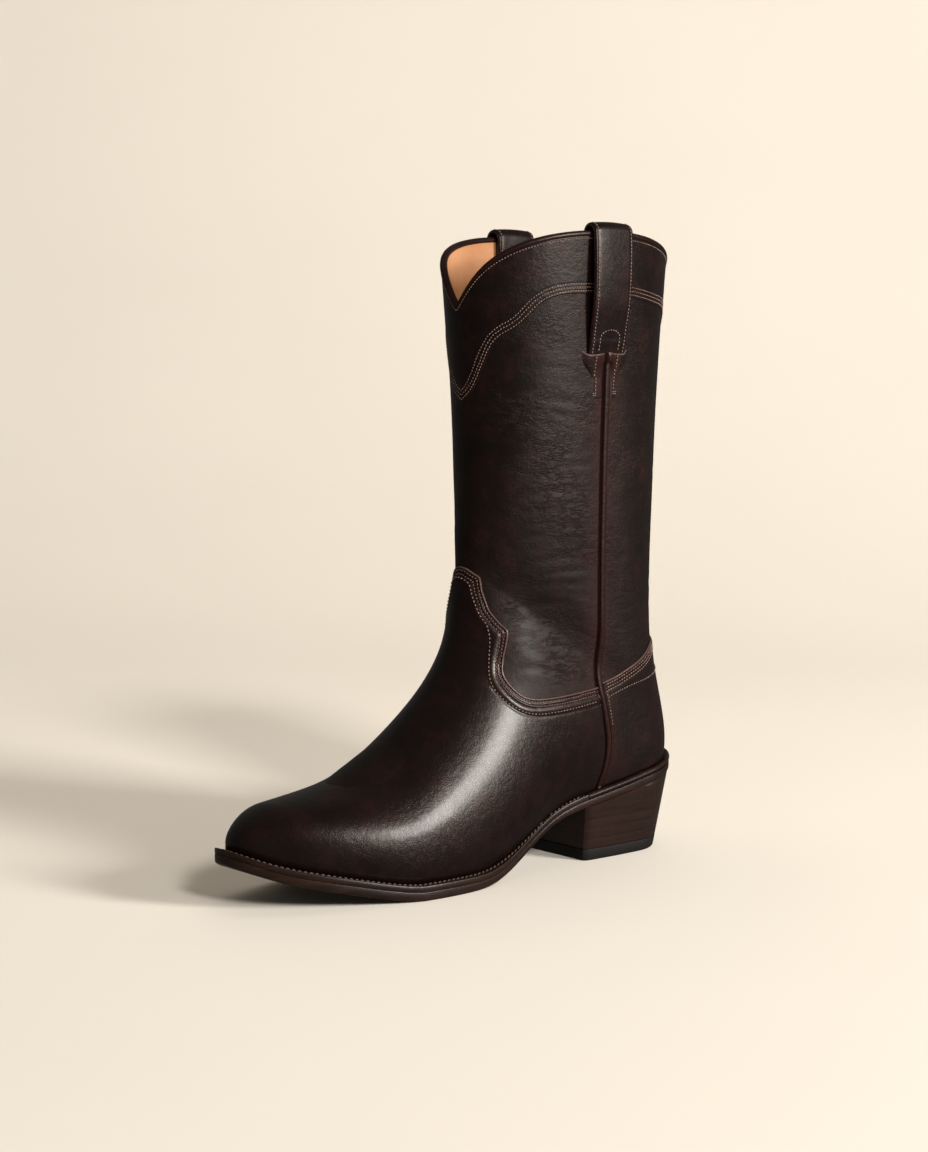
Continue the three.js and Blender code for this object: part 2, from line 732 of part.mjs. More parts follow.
function heel() {
  const layers = [heelLayer('heel_top_lift', 0, topLiftThick, rubber)];
  for (let i = 0; i < liftCount; i++) {
    const low = topLiftThick + i * liftThick;
    layers.push(heelLayer(`heel_lift_${i + 1}`, low, low + liftThick, edgeLeather));
  }
  layers.push(heelLayer('heel_base', topLiftThick + liftCount * liftThick, Infinity, edgeLeather));
  return layers;
}

const boot = new THREE.Group();
boot.add(upper(), vamp(), counter(), yoke(), binding());
boot.add(piping('side_piping_outer', 1), piping('side_piping_inner', 3));
boot.add(pullStrap('pull_strap_outer', 1), pullStrap('pull_strap_inner', 3));
boot.add(insole(), filler(), welt(), heelRand(), outsole(), ...heel());

// The origin is on the floor, under the middle of the boot.
const bounds = new THREE.Box3().setFromObject(boot);
const middle = bounds.getCenter(new THREE.Vector3());
boot.position.set(-middle.x, -middle.y, -bounds.min.z);

export default boot;
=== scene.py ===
# %% [markdown]
# # A stovepipe western boot
# The boot stands on its own sole and heel. The leg is a tall, nearly straight tube of dark brown
# leather, the foot is one smooth vamp that rises in a scalloped tongue, and a counter holds the heel.
# Every piece here is laid on one pattern: a rule that turns two numbers, how far round the boot and
# how far up it, into a place on the leather. Seams, stitches and overlays then lie where they should.

# %% Load the fixed frame
import bpy
import numpy as np
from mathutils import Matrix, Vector
from mathutils.bvhtree import BVHTree


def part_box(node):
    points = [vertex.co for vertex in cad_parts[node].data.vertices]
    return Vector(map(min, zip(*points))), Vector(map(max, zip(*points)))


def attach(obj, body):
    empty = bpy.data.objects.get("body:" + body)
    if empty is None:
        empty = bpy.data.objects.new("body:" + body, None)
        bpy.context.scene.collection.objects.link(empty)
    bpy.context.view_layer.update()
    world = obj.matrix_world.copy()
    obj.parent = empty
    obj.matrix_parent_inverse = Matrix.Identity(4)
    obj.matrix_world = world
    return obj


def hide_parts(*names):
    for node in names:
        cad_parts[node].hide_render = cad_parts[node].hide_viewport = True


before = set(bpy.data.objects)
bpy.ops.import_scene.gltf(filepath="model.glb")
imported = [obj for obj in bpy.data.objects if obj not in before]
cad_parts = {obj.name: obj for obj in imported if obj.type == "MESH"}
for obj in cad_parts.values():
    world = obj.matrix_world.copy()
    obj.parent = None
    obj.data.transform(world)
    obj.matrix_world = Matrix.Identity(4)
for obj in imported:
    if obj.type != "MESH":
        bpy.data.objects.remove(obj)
bpy.context.view_layer.update()

# %% [markdown]
# ## The sizes of the last
# A shoe is built round a last, a solid foot shape. All tables below are shares of these few sizes, in
# millimetres, so a wider or longer boot keeps its character. The heel end of the last is at along = 0
# and the toe tip at along = last_length.

# %% Sizes and tables
last_length, ball_width, instep_height, heel_height = 297.0, 90.0, 131.0, 41.0
toe_spring, toe_swing, rim_height, shaft_width = 26.5, 7.0, 362.0, 86.0
front_dip, back_dip, side_dip = 31.5, 15.0, 10.0
wall, welt_thick, sole_thick, waist_thick, gap = 2.4, 3.0, 5.0, 3.6, 0.3
welt_margin, waist_margin, seat_margin = 6.8, 2.8, 4.2
lift_top, lift_thick = 7.0, 6.0

# along, share of the heel height, share of the toe spring, full thickness
sole_table = np.array([
    [-0.030, 1.185, 0.000, 1.0], [0.220, 0.850, 0.000, 0.6], [0.337, 0.665, 0.000, 0.0],
    [0.438, 0.298, 0.000, 0.1], [0.539, 0.032, 0.000, 0.7], [0.610, 0.000, 0.000, 1.0],
    [0.700, 0.000, 0.000, 1.0], [0.775, 0.000, 0.138, 1.0], [0.875, 0.000, 0.395, 1.0],
    [0.960, 0.000, 0.655, 1.0], [1.030, 0.000, 1.000, 1.0]])
# level, how far forward the back line lies, how deep the back is rounded
back_table = np.array([
    [0.000, -0.0180, 0.108], [0.125, -0.0190, 0.112], [0.350, -0.0085, 0.122],
    [0.660, 0.0090, 0.141], [0.985, 0.0180, 0.155], [1.124, 0.0185, 0.168],
    [1.346, 0.0120, 0.178], [1.610, 0.0010, 0.195], [2.000, -0.0240, 0.222]])
# foot or back of the section line, ridge along, ridge level, outer, inner, widest, base, dome
heel_corner = 8
section_foot = [1.000, 0.902, 0.791, 0.673, 0.539, 0.404, 0.276, 0.152, -0.018]
section_back = [0.0, 0.33, 0.76, 1.08, 1.37, 2.00]
section_table = np.array([
    [1.0000, 0.200, 0.770, 0.750, 0.30, 0.97, 0.30], [0.9080, 0.290, 0.889, 0.872, 0.28, 0.97, 0.28],
    [0.8150, 0.361, 0.944, 0.939, 0.25, 0.96, 0.22], [0.7165, 0.468, 0.990, 0.984, 0.24, 0.95, 0.10],
    [0.6180, 0.653, 0.988, 0.951, 0.25, 0.90, -0.02], [0.5440, 0.842, 0.923, 0.871, 0.27, 0.83, -0.10],
    [0.5020, 1.014, 0.847, 0.823, 0.30, 0.84, -0.10], [0.4895, 1.102, 0.818, 0.808, 0.33, 0.90, -0.06],
    [0.4820, 1.178, 0.805, 0.805, 0.36, 0.95, 0.00], [0.4790, 1.258, 0.845, 0.845, 0.42, 1.00, 0.02],
    [0.4760, 1.338, 0.856, 0.856, 0.46, 1.00, 0.05], [0.4765, 1.444, 0.870, 0.870, 0.48, 1.00, 0.08],
    [0.4815, 1.636, 0.890, 0.890, 0.50, 1.00, 0.10], [0.5040, 2.000, 0.992, 0.992, 0.50, 1.00, 0.12]])
# rise, level at the back line, section row at the ridge
ring_table = np.array([
    [0.00, 0.000, 0.00], [0.06, 0.075, 0.35], [0.13, 0.165, 1.00], [0.21, 0.265, 2.00],
    [0.30, 0.400, 3.10], [0.40, 0.575, 4.30], [0.50, 0.812, 5.70], [0.60, 1.062, 7.80],
    [0.70, 1.258, 9.20], [0.85, 1.591, 11.6], [1.00, 2.000, 13.0]])
# rise, turn of the side seam in degrees from the back line
seam_table = np.array([
    [0.00, 59.3], [0.08, 59.6], [0.20, 63.0], [0.293, 67.8], [0.367, 73.6], [0.447, 80.4],
    [0.537, 84.6], [0.657, 86.8], [0.76, 88.0], [1.00, 88.5]])

# %% [markdown]
# ## Smooth lines through short tables
# A spline is the drafting tool of a pattern maker: a thin strip bent through a few pins. The natural
# cubic spline below is that strip, and it works on whole arrays of numbers at once.

# %% The spline and two easing curves
def spline(xs, ys):
    xs, ys = np.asarray(xs, float), np.asarray(ys, float)
    step, count = np.diff(xs), len(xs)
    stiff, pull = np.eye(count), np.zeros(count)
    for i in range(1, count - 1):
        stiff[i, i - 1:i + 2] = step[i - 1], 2 * (step[i - 1] + step[i]), step[i]
        pull[i] = 3 * ((ys[i + 1] - ys[i]) / step[i] - (ys[i] - ys[i - 1]) / step[i - 1])
    bend = np.linalg.solve(stiff, pull)
    slope = np.diff(ys) / step - step * (2 * bend[:-1] + bend[1:]) / 3
    twist = np.diff(bend) / (3 * step)

    def at(x):
        x = np.asarray(x, float)
        i = np.clip(np.searchsorted(xs, x) - 1, 0, count - 2)
        d = x - xs[i]
        return ys[i] + d * (slope[i] + d * (bend[i] + d * twist[i]))
    return at


def quarter_round(t):
    return np.sqrt(np.maximum(0, 1 - (1 - np.clip(t, 0, 1)) ** 2))


def smooth(t):
    t = np.clip(t, 0, 1)
    return t * t * (3 - 2 * t)


def mix(a, b, t):
    return a + (b - a) * t


# %% [markdown]
# ## The sole's height line
# Seen from the side the sole is one flowing line: it leaves the heel seat, drops through the waist,
# rests on the ball and springs up at the toe. The welt and the feather line follow it upward.

# %% The sole line
sole_along = sole_table[:, 0] * last_length
sole_line = spline(sole_along, sole_table[:, 1] * heel_height + sole_table[:, 2] * toe_spring)
sole_share = spline(sole_along, sole_table[:, 3])


def underside(along):
    return np.maximum(0, sole_line(along))


def sole_top(along):
    return underside(along) + mix(waist_thick, sole_thick, np.clip(sole_share(along), 0, 1))


def welt_foot(along):
    return sole_top(along) + gap


def feather(along):
    return welt_foot(along) + welt_thick + gap


print("feather line at heel, waist, toe:", [round(float(feather(a)), 1) for a in (0, 120, 297)])

# %% [markdown]
# ## The form of the boot
# Straight section lines fan from the toe over the instep to the heel and up the leg. Each has a
# half width and a fullness, and a place of the side view takes its width from the line it lies on.
# Rings then run from the back line to the ridge, and carry the turn round the boot.

# %% The form
def height_at(level, ground):
    level = np.asarray(level, float)
    low = ground + (instep_height - ground) * level
    return np.where(level <= 1, low, mix(instep_height, rim_height, level - 1))


seat_along = section_foot[heel_corner] * last_length
seat = float(feather(seat_along))
rows = np.arange(len(section_table))
back_heights = height_at(back_table[:, 0], seat)
back_along = spline(back_heights, back_table[:, 1] * last_length)
back_round = spline(back_heights, back_table[:, 2] * last_length)
foot_line = spline(rows[:heel_corner + 1], np.array(section_foot) * last_length)
leg_line = spline(rows[heel_corner:], height_at(section_back, seat))
ridge_along = spline(rows, section_table[:, 0] * last_length)
ridge_height = spline(rows, height_at(section_table[:, 1], feather(section_table[:, 0] * last_length)))
half_span = np.where(rows < heel_corner, ball_width, shaft_width) / 2
outer_half, inner_half = (spline(rows, section_table[:, c] * half_span) for c in (2, 3))
widest_share, base_share, dome_share = (spline(rows, section_table[:, c]) for c in (4, 5, 6))
toe_round, toe_taper, swing_start = (share * last_length for share in (0.088, 0.354, 0.37))


def bottom_point(row):
    along, height = foot_line(np.minimum(row, heel_corner)), leg_line(np.maximum(row, heel_corner))
    on_foot = row <= heel_corner
    return np.where(on_foot, along, back_along(height)), np.where(on_foot, feather(along), height)


def ridge_point(row):
    along = ridge_along(row)
    full = np.where(row > 5, 1, quarter_round((last_length - along) / toe_round))
    ground = feather(np.minimum(along, last_length))
    return along, mix(ground, ridge_height(row), full)


def section_at(along, height):
    low, high = np.zeros_like(along), np.full_like(along, rows[-1])
    for _ in range(21):
        row = (low + high) / 2
        (a0, h0), (a1, h1) = bottom_point(row), ridge_point(row)
        before = (a1 - a0) * (height - h0) < (h1 - h0) * (along - a0)
        low, high = np.where(before, low, row), np.where(before, row, high)
    dx, dz = a1 - a0, h1 - h0
    share = ((along - a0) * dx + (height - h0) * dz) / np.maximum(dx * dx + dz * dz, 1e-6)
    return row, np.clip(share, 0, 1)


def half_width(along, height, side):
    row, share = section_at(along, height)
    full = np.where(side > 0, outer_half(row), inner_half(row))
    widest = widest_share(row)
    up = np.clip((share - widest) / (1 - widest), 0, 1)
    down = np.clip((widest - share) / widest, 0, 1)
    above = np.sqrt(np.maximum(0, 1 - up * up)) * (1 + dome_share(row) * up * up)
    below = 1 - (1 - base_share(row)) * down * down
    at_back = quarter_round((along - back_along(height)) / back_round(height))
    return full * above * below * at_back * quarter_round((last_length - along) / toe_taper)


# %% [markdown]
# ## Places of the pattern
# The pattern's numbers are the panel (0 at the back line, 1 at the outer side seam, 2 at the front
# ridge, 3 at the inner side seam) and the rise (0 at the feather line, 1 at the collar).

# %% Places, normals and lifted places
ring_back = spline(ring_table[:, 0], height_at(ring_table[:, 1], seat))
ring_ridge = spline(ring_table[:, 0], ring_table[:, 2])
seam_turn = spline(seam_table[:, 0], np.radians(seam_table[:, 1]))
leg_ridge = ridge_point(np.linspace(heel_corner - 1, rows[-1], 241))


def collar_drop(turn):
    front, back = np.abs(np.pi - turn), np.minimum(turn, 2 * np.pi - turn)
    return (front_dip * np.exp(-(front / 0.42) ** 1.25) + back_dip * np.exp(-(back / 0.45) ** 1.4)
            + side_dip * np.cos(turn) ** 2)


def side_point(turn, rise):
    share = (1 - np.cos(turn)) / 2
    back_height, (front_along, front_height) = ring_back(rise), ridge_point(ring_ridge(rise))
    along = mix(back_along(back_height), front_along, share)
    height = mix(back_height, front_height, share)
    sag = feather(mix(seat_along, last_length, share)) - mix(seat, feather(last_length), share)
    height = height + sag * np.clip(1 - rise / 0.55, 0, 1) ** 2
    height = height - collar_drop(turn) * np.clip((rise - 0.62) / 0.38, 0, 1) ** 1.5
    level = mix(back_along(height), np.interp(height, leg_ridge[1], leg_ridge[0]), share)
    return mix(along, level, smooth((rise - 0.6) / 0.12)), height


def turn_at(panel, rise):
    panel = np.mod(panel, 4)
    half, seam = np.where(panel > 2, 4 - panel, panel), seam_turn(rise)
    turn = np.where(half < 1, half * seam, mix(seam, np.pi, half - 1))
    return np.where(panel > 2, 2 * np.pi - turn, turn)


def place(panel, rise):
    panel, rise = np.broadcast_arrays(np.asarray(panel, float), np.asarray(rise, float))
    turn = turn_at(panel, rise)
    along, height = side_point(turn, rise)
    side = np.where(np.sin(turn) >= 0, 1.0, -1.0)
    swing = -toe_swing * np.clip((along - swing_start) / (last_length - swing_start), 0, 1) ** 1.8
    return np.stack([swing + side * half_width(along, height, side), -along, height], -1)


def unit(v):
    return v / (np.linalg.norm(v, axis=-1, keepdims=True) + 1e-12)


def outward(panel, rise):
    panel, rise = np.broadcast_arrays(np.asarray(panel, float), np.asarray(rise, float))
    up = place(panel, np.minimum(1, rise + 0.004)) - place(panel, np.maximum(0, rise - 0.004))
    across = place(panel + 0.008, rise) - place(panel - 0.008, rise)
    out = unit(np.cross(up, across))
    out[..., 2] *= smooth(rise / 0.05)
    return unit(out), unit(up), unit(across)


def lifted(point, out, rise, lift):
    """A place moved out from the wall. Along the feather line it keeps to the top of the welt."""
    raised = point + out * np.asarray(lift, float)[..., None]
    raised[..., 2] += (feather(-raised[..., 1]) - feather(-point[..., 1])) * (1 - smooth(rise / 0.05))
    return raised


def skin(panel, rise, lift):
    panel, rise = np.broadcast_arrays(np.asarray(panel, float), np.asarray(rise, float))
    return lifted(place(panel, rise), outward(panel, rise)[0], rise, lift)


def net(panel, rise, wraps=False):
    """The places of a whole grid and their outward normals, whichever way the grid runs."""
    base = place(panel, rise)
    up = np.gradient(base, axis=1)
    across = np.roll(base, -1, 0) - np.roll(base, 1, 0) if wraps else np.gradient(base, axis=0)
    out = unit(np.cross(up, across))
    out[..., 2] *= smooth(rise / 0.05)
    probe = panel.shape[0] // 2, panel.shape[1] // 2
    if (out[probe] * outward(panel[probe], rise[probe])[0]).sum() < 0:
        out = -out
    return base, unit(out)


def panel_run(panel, rise):
    return float(np.linalg.norm(place(panel + 0.05, rise) - place(panel - 0.05, rise))) / 0.1


def rise_below(panel, distance):
    run = np.linalg.norm(place(panel, 1.0) - place(panel, 0.97), axis=-1) / 0.03
    return 1 - distance / run


def edge_margin(along):
    share = along / last_length
    waist = mix(seat_margin, waist_margin, smooth((share - 0.26) / 0.1))
    return mix(waist, welt_margin, smooth((share - 0.38) / 0.2))


def at_edge(panel, height, inset=0.0, lift=None):
    lift = edge_margin(-place(panel, 0.0)[..., 1]) - inset if lift is None else lift
    point = skin(panel, 0.0, lift + np.zeros(np.shape(panel)))
    point[..., 2] = height(-point[..., 1])
    return point


# The pattern's own frame is shifted so that the origin lies under the middle of the boot.
strap_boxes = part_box("pull_strap_outer"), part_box("pull_strap_inner")
shift = np.array([
    (strap_boxes[0][1].x + strap_boxes[1][0].x) * 500,
    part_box("outsole")[0].y * 1000 - float(at_edge(np.array(2.0), underside)[1]), 0.0])
print("shift of the pattern, mm", shift.round(2), "seam run", round(panel_run(1.0, 0.8), 1))

# %% [markdown]
# ## Leather finishes
# A finish is built as a small sum: colour and gloss from noise at the scale of hide, and bump for
# pores and wrinkles. The class below wraps a socket, so that the sums read as plain arithmetic.

# %% Shader maths
class Wire:
    """An output socket that can be added, multiplied and compared."""
    def __init__(self, finish, socket):
        self.finish, self.socket = finish, socket

    def maths(self, operation, first, second=0.0):
        return self.finish.node("Math", {"operation": operation}, {0: first, 1: second})

    def __add__(self, other): return self.maths("ADD", self, other)
    def __radd__(self, other): return self.maths("ADD", other, self)
    def __sub__(self, other): return self.maths("SUBTRACT", self, other)
    def __rsub__(self, other): return self.maths("SUBTRACT", other, self)
    def __mul__(self, other): return self.maths("MULTIPLY", self, other)
    def __rmul__(self, other): return self.maths("MULTIPLY", other, self)
    def __truediv__(self, other): return self.maths("DIVIDE", self, other)
    def __rtruediv__(self, other): return self.maths("DIVIDE", other, self)
    def __pow__(self, other): return self.maths("POWER", self, other)
    def __lt__(self, other): return self.maths("LESS_THAN", self, other)
    def __gt__(self, other): return self.maths("GREATER_THAN", self, other)


class Finish:
    """A material under construction, with one method that adds any node."""
    def __init__(self, name):
        self.material = bpy.data.materials.new(name)
        self.material.use_nodes = True
        self.tree = self.material.node_tree
        self.tree.nodes.clear()

    def node(self, kind, settings=None, inputs=None, out=0):
        made = self.tree.nodes.new("ShaderNode" + kind)
        for key, value in (settings or {}).items():
            if key == "stops":
                ramp = made.color_ramp.elements
                while len(ramp) < len(value):
                    ramp.new(1.0)
                for stop, (position, colour) in zip(ramp, value):
                    stop.position, stop.color = position, colour
            else:
                setattr(made, key, value)
        for key, value in (inputs or {}).items():
            socket = made.inputs[key]
            if isinstance(value, Wire):
                self.tree.links.new(value.socket, socket)
            else:
                socket.default_value = value
        return Wire(self, None if out is None else made.outputs[out])

    def place_mm(self, stretch=(1, 1, 1), turn=(0, 0, 0)):
        spot = self.node("TexCoord", out="Object")
        return self.node("Mapping", None, {
            "Vector": spot, "Rotation": turn, "Scale": tuple(1000 * s for s in stretch)})

    def noise(self, vector, size, detail=3.0, rough=0.5, twist=0.0):
        return self.node("TexNoise", None, {
            "Vector": vector, "Scale": 1 / size, "Detail": detail, "Roughness": rough,
            "Distortion": twist})

    def curve(self, value, *stops):
        grey = [(position, (level, level, level, 1)) for position, level in stops]
        return self.node("ValToRGB", {"stops": grey}, {0: value})

    def blend(self, factor, first, second, way="MIX"):
        settings = {"data_type": "RGBA", "blend_type": way}
        return self.node("Mix", settings, {0: factor, 6: first, 7: second}, out=2)

    def mask(self, name):
        return self.node("Attribute", {"attribute_name": name}, None, out="Fac")

    def bump(self, height, distance, strength=1.0, below=None):
        inputs = {"Height": height, "Distance": distance / 1000, "Strength": strength}
        if below is not None:
            inputs["Normal"] = below
        return self.node("Bump", None, inputs)

    def surface(self, **sockets):
        named = {key.replace("_", " "): value for key, value in sockets.items()}
        shader = self.node("BsdfPrincipled", None, named)
        self.node("OutputMaterial", None, {"Surface": shader}, out=None)
        return self.material


# %% [markdown]
# ## The upper's leather
# The hide is aniline dyed in dark brown and burnished, so it is nearly black in the hollows and shows
# a wine red where it is rubbed. Gloss comes from a thin wax coat. Fine wrinkles lie across the leg in
# patches, and pores break up the shine everywhere. Along folded edges and lips a pale tone is painted
# on as a highlight, and the same mask also carries the rubbed wear.

# %% Upper leather
def upper_leather(name, wrinkle, stretch, shine=0.33, red=0.5, coat=(0.12, 0.28)):
    f = Finish(name)
    spot = f.place_mm()
    cloud = f.noise(spot, 60, 4, 0.55)
    rub = f.noise(spot, 13, 6, 0.65)
    worn, wrinkled, dull = f.mask("worn"), f.mask("wrinkled"), f.mask("dull")
    dark, brown, wine = (0.0030, 0.0016, 0.0014, 1), (0.0066, 0.0032, 0.0026, 1), (0.021, 0.0052, 0.0044, 1)
    base = f.blend(f.curve(cloud, (0.35, 0), (0.68, 1)), dark, brown)
    base = f.blend(f.curve(rub, (0.46, 0), (0.80, red)), base, wine)
    # The mask carries two things: rubbed wear, which tints the leather wine red, and a painted highlight, a pale tone
    # where the mask rises above 0.72 on the rims of folded edges and lips.
    base = f.blend(worn * 0.8, base, wine)
    base = f.blend(f.curve(worn, (0.72, 0), (1.0, 1)), base, (0.062, 0.036, 0.030, 1))
    pores = f.node("TexVoronoi", {"feature": "F1"}, {"Vector": spot, "Scale": 1.3, "Randomness": 1.0})
    grain = f.noise(spot, 0.8, 3, 0.6)
    swell = f.bump(f.noise(spot, 15, 3, 0.5), 0.8, 0.5)
    fine = f.bump(pores * 0.5 + grain, 0.11, 0.7, swell)
    relief = f.bump(f.noise(spot, 3.4, 4, 0.62), 0.38, 0.6, fine)
    lay = f.place_mm(stretch)
    apart = f.noise(lay, 5.5, 5, 0.62, 0.5) - 0.5
    lines = f.curve(apart.maths("ABSOLUTE", apart), (0.0, 1), (0.04, 0.3), (0.09, 0))
    patch = f.curve(f.noise(spot, 30, 3, 0.5), (0.42, 0), (0.60, 1)) * wrinkled
    creased = f.bump(1 - lines * patch, 0.26 * wrinkle, 0.8, relief)
    gloss = shine + f.noise(spot, 8, 5, 0.65) * 0.16 + lines * patch * 0.1 + dull * 0.24
    return f.surface(Base_Color=base, Roughness=gloss, Normal=creased, Specular_IOR_Level=0.18,
                     Specular_Tint=(1.0, 0.86, 0.78, 1),
                     Coat_Weight=(1 - dull) * coat[0], Coat_Roughness=coat[1], Coat_IOR=1.45)


leg_finish = upper_leather("leg_leather", 1.0, (0.45, 0.45, 1.5), 0.33, 0.55)
foot_finish = upper_leather("foot_leather", 0.5, (0.5, 1.4, 0.8), 0.26, 0.45, (0.18, 0.19))
trim_finish = upper_leather("trim_leather", 0.5, (0.6, 0.6, 1.4), 0.30, 0.7)
print("leather finishes:", leg_finish.name, foot_finish.name, trim_finish.name)

# %% [markdown]
# ## Lining, edges, rubber, cork and thread
# The lining is undyed calf, orange tan and matt. Sole edges and heel lifts are packed leather, dyed,
# waxed and polished, and their layers show as faint streaks. The thread is a waxed rose brown.

# %% The other finishes
def lining_leather():
    f = Finish("lining_calf")
    spot = f.place_mm()
    tone = f.curve(f.noise(spot, 30, 4, 0.6), (0.3, 0), (0.75, 1))
    base = f.blend(tone, (0.36, 0.155, 0.064, 1), (0.47, 0.225, 0.105, 1))
    grain = f.noise(spot, 0.6, 3, 0.6)
    return f.surface(Base_Color=base, Roughness=0.52 + grain * 0.2, Normal=f.bump(grain, 0.12, 0.5))


def edge_leather(name, deep, warm, streak, shine):
    f = Finish(name)
    spot = f.place_mm()
    layers = f.noise(f.place_mm((0.05, 0.05, 1.0)), streak, 4, 0.65)
    patches = f.noise(spot, 22, 3, 0.6)
    base = f.blend(f.curve(layers * 0.6 + patches * 0.4, (0.36, 0), (0.64, 1)), deep, warm)
    fibre = f.noise(f.place_mm((0.4, 0.4, 2.0)), 0.8, 4, 0.7)
    return f.surface(Base_Color=base, Roughness=shine + fibre * 0.18, Specular_IOR_Level=0.2,
                     Coat_Weight=0.12, Coat_Roughness=0.3, Normal=f.bump(fibre + layers * 0.5, 0.18, 0.6))


def thread(name, pale, deep):
    f = Finish(name)
    tone = f.noise(f.place_mm(), 1.4, 2, 0.5)
    twist = f.noise(f.place_mm((1, 1, 1), (0.5, 0.6, 0.2)), 0.5, 2, 0.5)
    return f.surface(Base_Color=f.blend(f.curve(tone, (0.35, 0), (0.65, 1)), deep, pale),
                     Roughness=0.5 + twist * 0.2, Normal=f.bump(twist, 0.1, 0.6))


def cork_filler():
    f = Finish("cork_filler")
    grains = f.node("TexVoronoi", None, {"Vector": f.place_mm(), "Scale": 0.5})
    base = f.blend(grains, (0.30, 0.16, 0.07, 1), (0.42, 0.26, 0.13, 1))
    return f.surface(Base_Color=base, Roughness=0.85 + grains * 0.1, Normal=f.bump(grains, 0.3, 0.6))


def heel_rubber():
    f = Finish("heel_rubber")
    spot = f.place_mm()
    grit = f.noise(spot, 0.7, 4, 0.7)
    base = f.blend(f.noise(spot, 14, 3, 0.5), (0.0055, 0.0046, 0.0041, 1), (0.0105, 0.0088, 0.0078, 1))
    return f.surface(Base_Color=base, Roughness=0.5 + grit * 0.25, Specular_IOR_Level=0.2,
                     Normal=f.bump(grit, 0.12, 0.6))


lining_finish, cork_finish, rubber_finish = lining_leather(), cork_filler(), heel_rubber()
edge_finish = edge_leather("sole_edge", (0.0062, 0.0030, 0.0022, 1), (0.020, 0.0082, 0.0050, 1), 2.6, 0.30)
stack_finish = edge_leather("heel_stack", (0.0105, 0.0050, 0.0036, 1), (0.019, 0.0082, 0.0056, 1), 2.4, 0.32)
tread_finish = edge_leather("sole_tread", (0.20, 0.105, 0.052, 1), (0.30, 0.17, 0.09, 1), 9.0, 0.5)
dark_thread_finish = thread("vamp_thread", (0.16, 0.096, 0.077, 1), (0.075, 0.042, 0.034, 1))
thread_finish = thread("upper_thread", (0.25, 0.158, 0.124, 1), (0.115, 0.066, 0.052, 1))
welt_thread_finish = thread("welt_thread", (0.085, 0.050, 0.034, 1), (0.040, 0.022, 0.015, 1))
print("finishes made:", len(bpy.data.materials))

# %% [markdown]
# ## From arrays to pieces
# Every leather piece is a skin of closed loops: each loop runs along the outer face, over the edge and
# back along the inner face, so the piece has a thickness and a soft edge. The helpers below join the
# loops into a mesh, turn its faces outward, and give it its finish and the body it rides on.

# %% Piece helpers
root_pieces = []


def piece(name, points, faces, finish, stands_for=(), masks=None, crisp=None):
    points = np.asarray(points, float).reshape(-1, 3)
    mesh = bpy.data.meshes.new(name)
    mesh.from_pydata(((points + shift) / 1000).tolist(), [], faces)
    mesh.validate()
    mesh.calc_loop_triangles()
    spots = np.array([v.co for v in mesh.vertices])
    corners = spots[np.array([t.vertices for t in mesh.loop_triangles])]
    middle = spots.mean(0)
    a, b, c = (corners[:, i] - middle for i in range(3))
    if np.einsum("ij,ij->i", a, np.cross(b, c)).sum() < 0:
        mesh.flip_normals()
    mesh.shade_smooth()
    if crisp:
        mesh.set_sharp_from_angle(angle=np.radians(crisp))
    for key, values in (masks or {}).items():
        layer = mesh.attributes.new(key, "FLOAT", "POINT")
        layer.data.foreach_set("value", np.asarray(values, np.float32).ravel())
    made = bpy.data.objects.new(name, mesh)
    bpy.context.scene.collection.objects.link(made)
    mesh.materials.append(finish)
    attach(made, "root")
    if stands_for:
        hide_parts(*stands_for)
    root_pieces.append(made)
    print(f"{name}: {len(mesh.loop_triangles)} triangles")
    return made


def looped(loops, ring):
    count, size = loops.shape[:2]
    grid = np.arange(count * size).reshape(count, size)
    here = grid if ring else grid[:-1]
    after = np.roll(grid, -1, 0) if ring else grid[1:]
    quads = np.stack([here, after, np.roll(after, -1, 1), np.roll(here, -1, 1)], -1).reshape(-1, 4).tolist()
    return quads if ring else quads + [grid[0][::-1].tolist(), grid[-1].tolist()]


def capped(rings):
    """Rings stacked on each other, closed at both ends by strips across from side to side."""
    count, size = rings.shape[:2]
    grid = np.arange(count * size).reshape(count, size)
    turned = np.roll(grid, -1, 1)
    faces = np.stack([grid[:-1], turned[:-1], turned[1:], grid[1:]], -1).reshape(-1, 4).tolist()
    half = size // 2
    for end, order in ((grid[0], 1), (grid[-1], -1)):
        for i in range(half):
            corners = [end[i], end[i + 1], end[(size - i - 1) % size], end[(size - i) % size]]
            corners = list(dict.fromkeys(int(c) for c in corners))
            if len(corners) > 2:
                faces.append(corners[::-order])
    return faces


def reach(points, line):
    """The distance from each point to the nearest point of a line."""
    flat = points.reshape(-1, 3)
    parts = np.array_split(flat, len(flat) // 1500 + 1)
    far = [np.sqrt(((part[:, None] - line) ** 2).sum(-1).min(1)) for part in parts]
    return np.concatenate(far).reshape(points.shape[:-1])


def marks(*stops):
    """Numbers from stop to stop, each stretch with its own step: start, step, stop, step, stop."""
    out = []
    for start, step, stop in zip(stops[:-2:2], stops[1::2], stops[2::2]):
        out.append(np.linspace(start, stop, max(2, int(round(abs(stop - start) / step)) + 1)))
    return np.unique(np.concatenate(out).round(6))


# %% [markdown]
# ## The side seam
# Front and back of the leg meet in a side seam. The front piece is turned in, which leaves a narrow
# dark groove, and a soft rib of leather stands behind it. The groove is cut into the leg's own mesh,
# so its columns crowd together there. Distances along the seam are kept in millimetres.

# %% Millimetres beside the seam
run_rises = np.linspace(0, 1, 41)
ahead_run = np.linalg.norm(place(1.06, run_rises) - place(1.0, run_rises), axis=-1) / 0.06
behind_run = np.linalg.norm(place(1.0, run_rises) - place(0.94, run_rises), axis=-1) / 0.06


def beside_seam(offset, rise):
    """The panel that lies so many millimetres in front of the outer side seam."""
    ahead, behind = np.interp(rise, run_rises, ahead_run), np.interp(rise, run_rises, behind_run)
    return 1 + np.where(np.asarray(offset) > 0, offset / ahead, offset / behind)


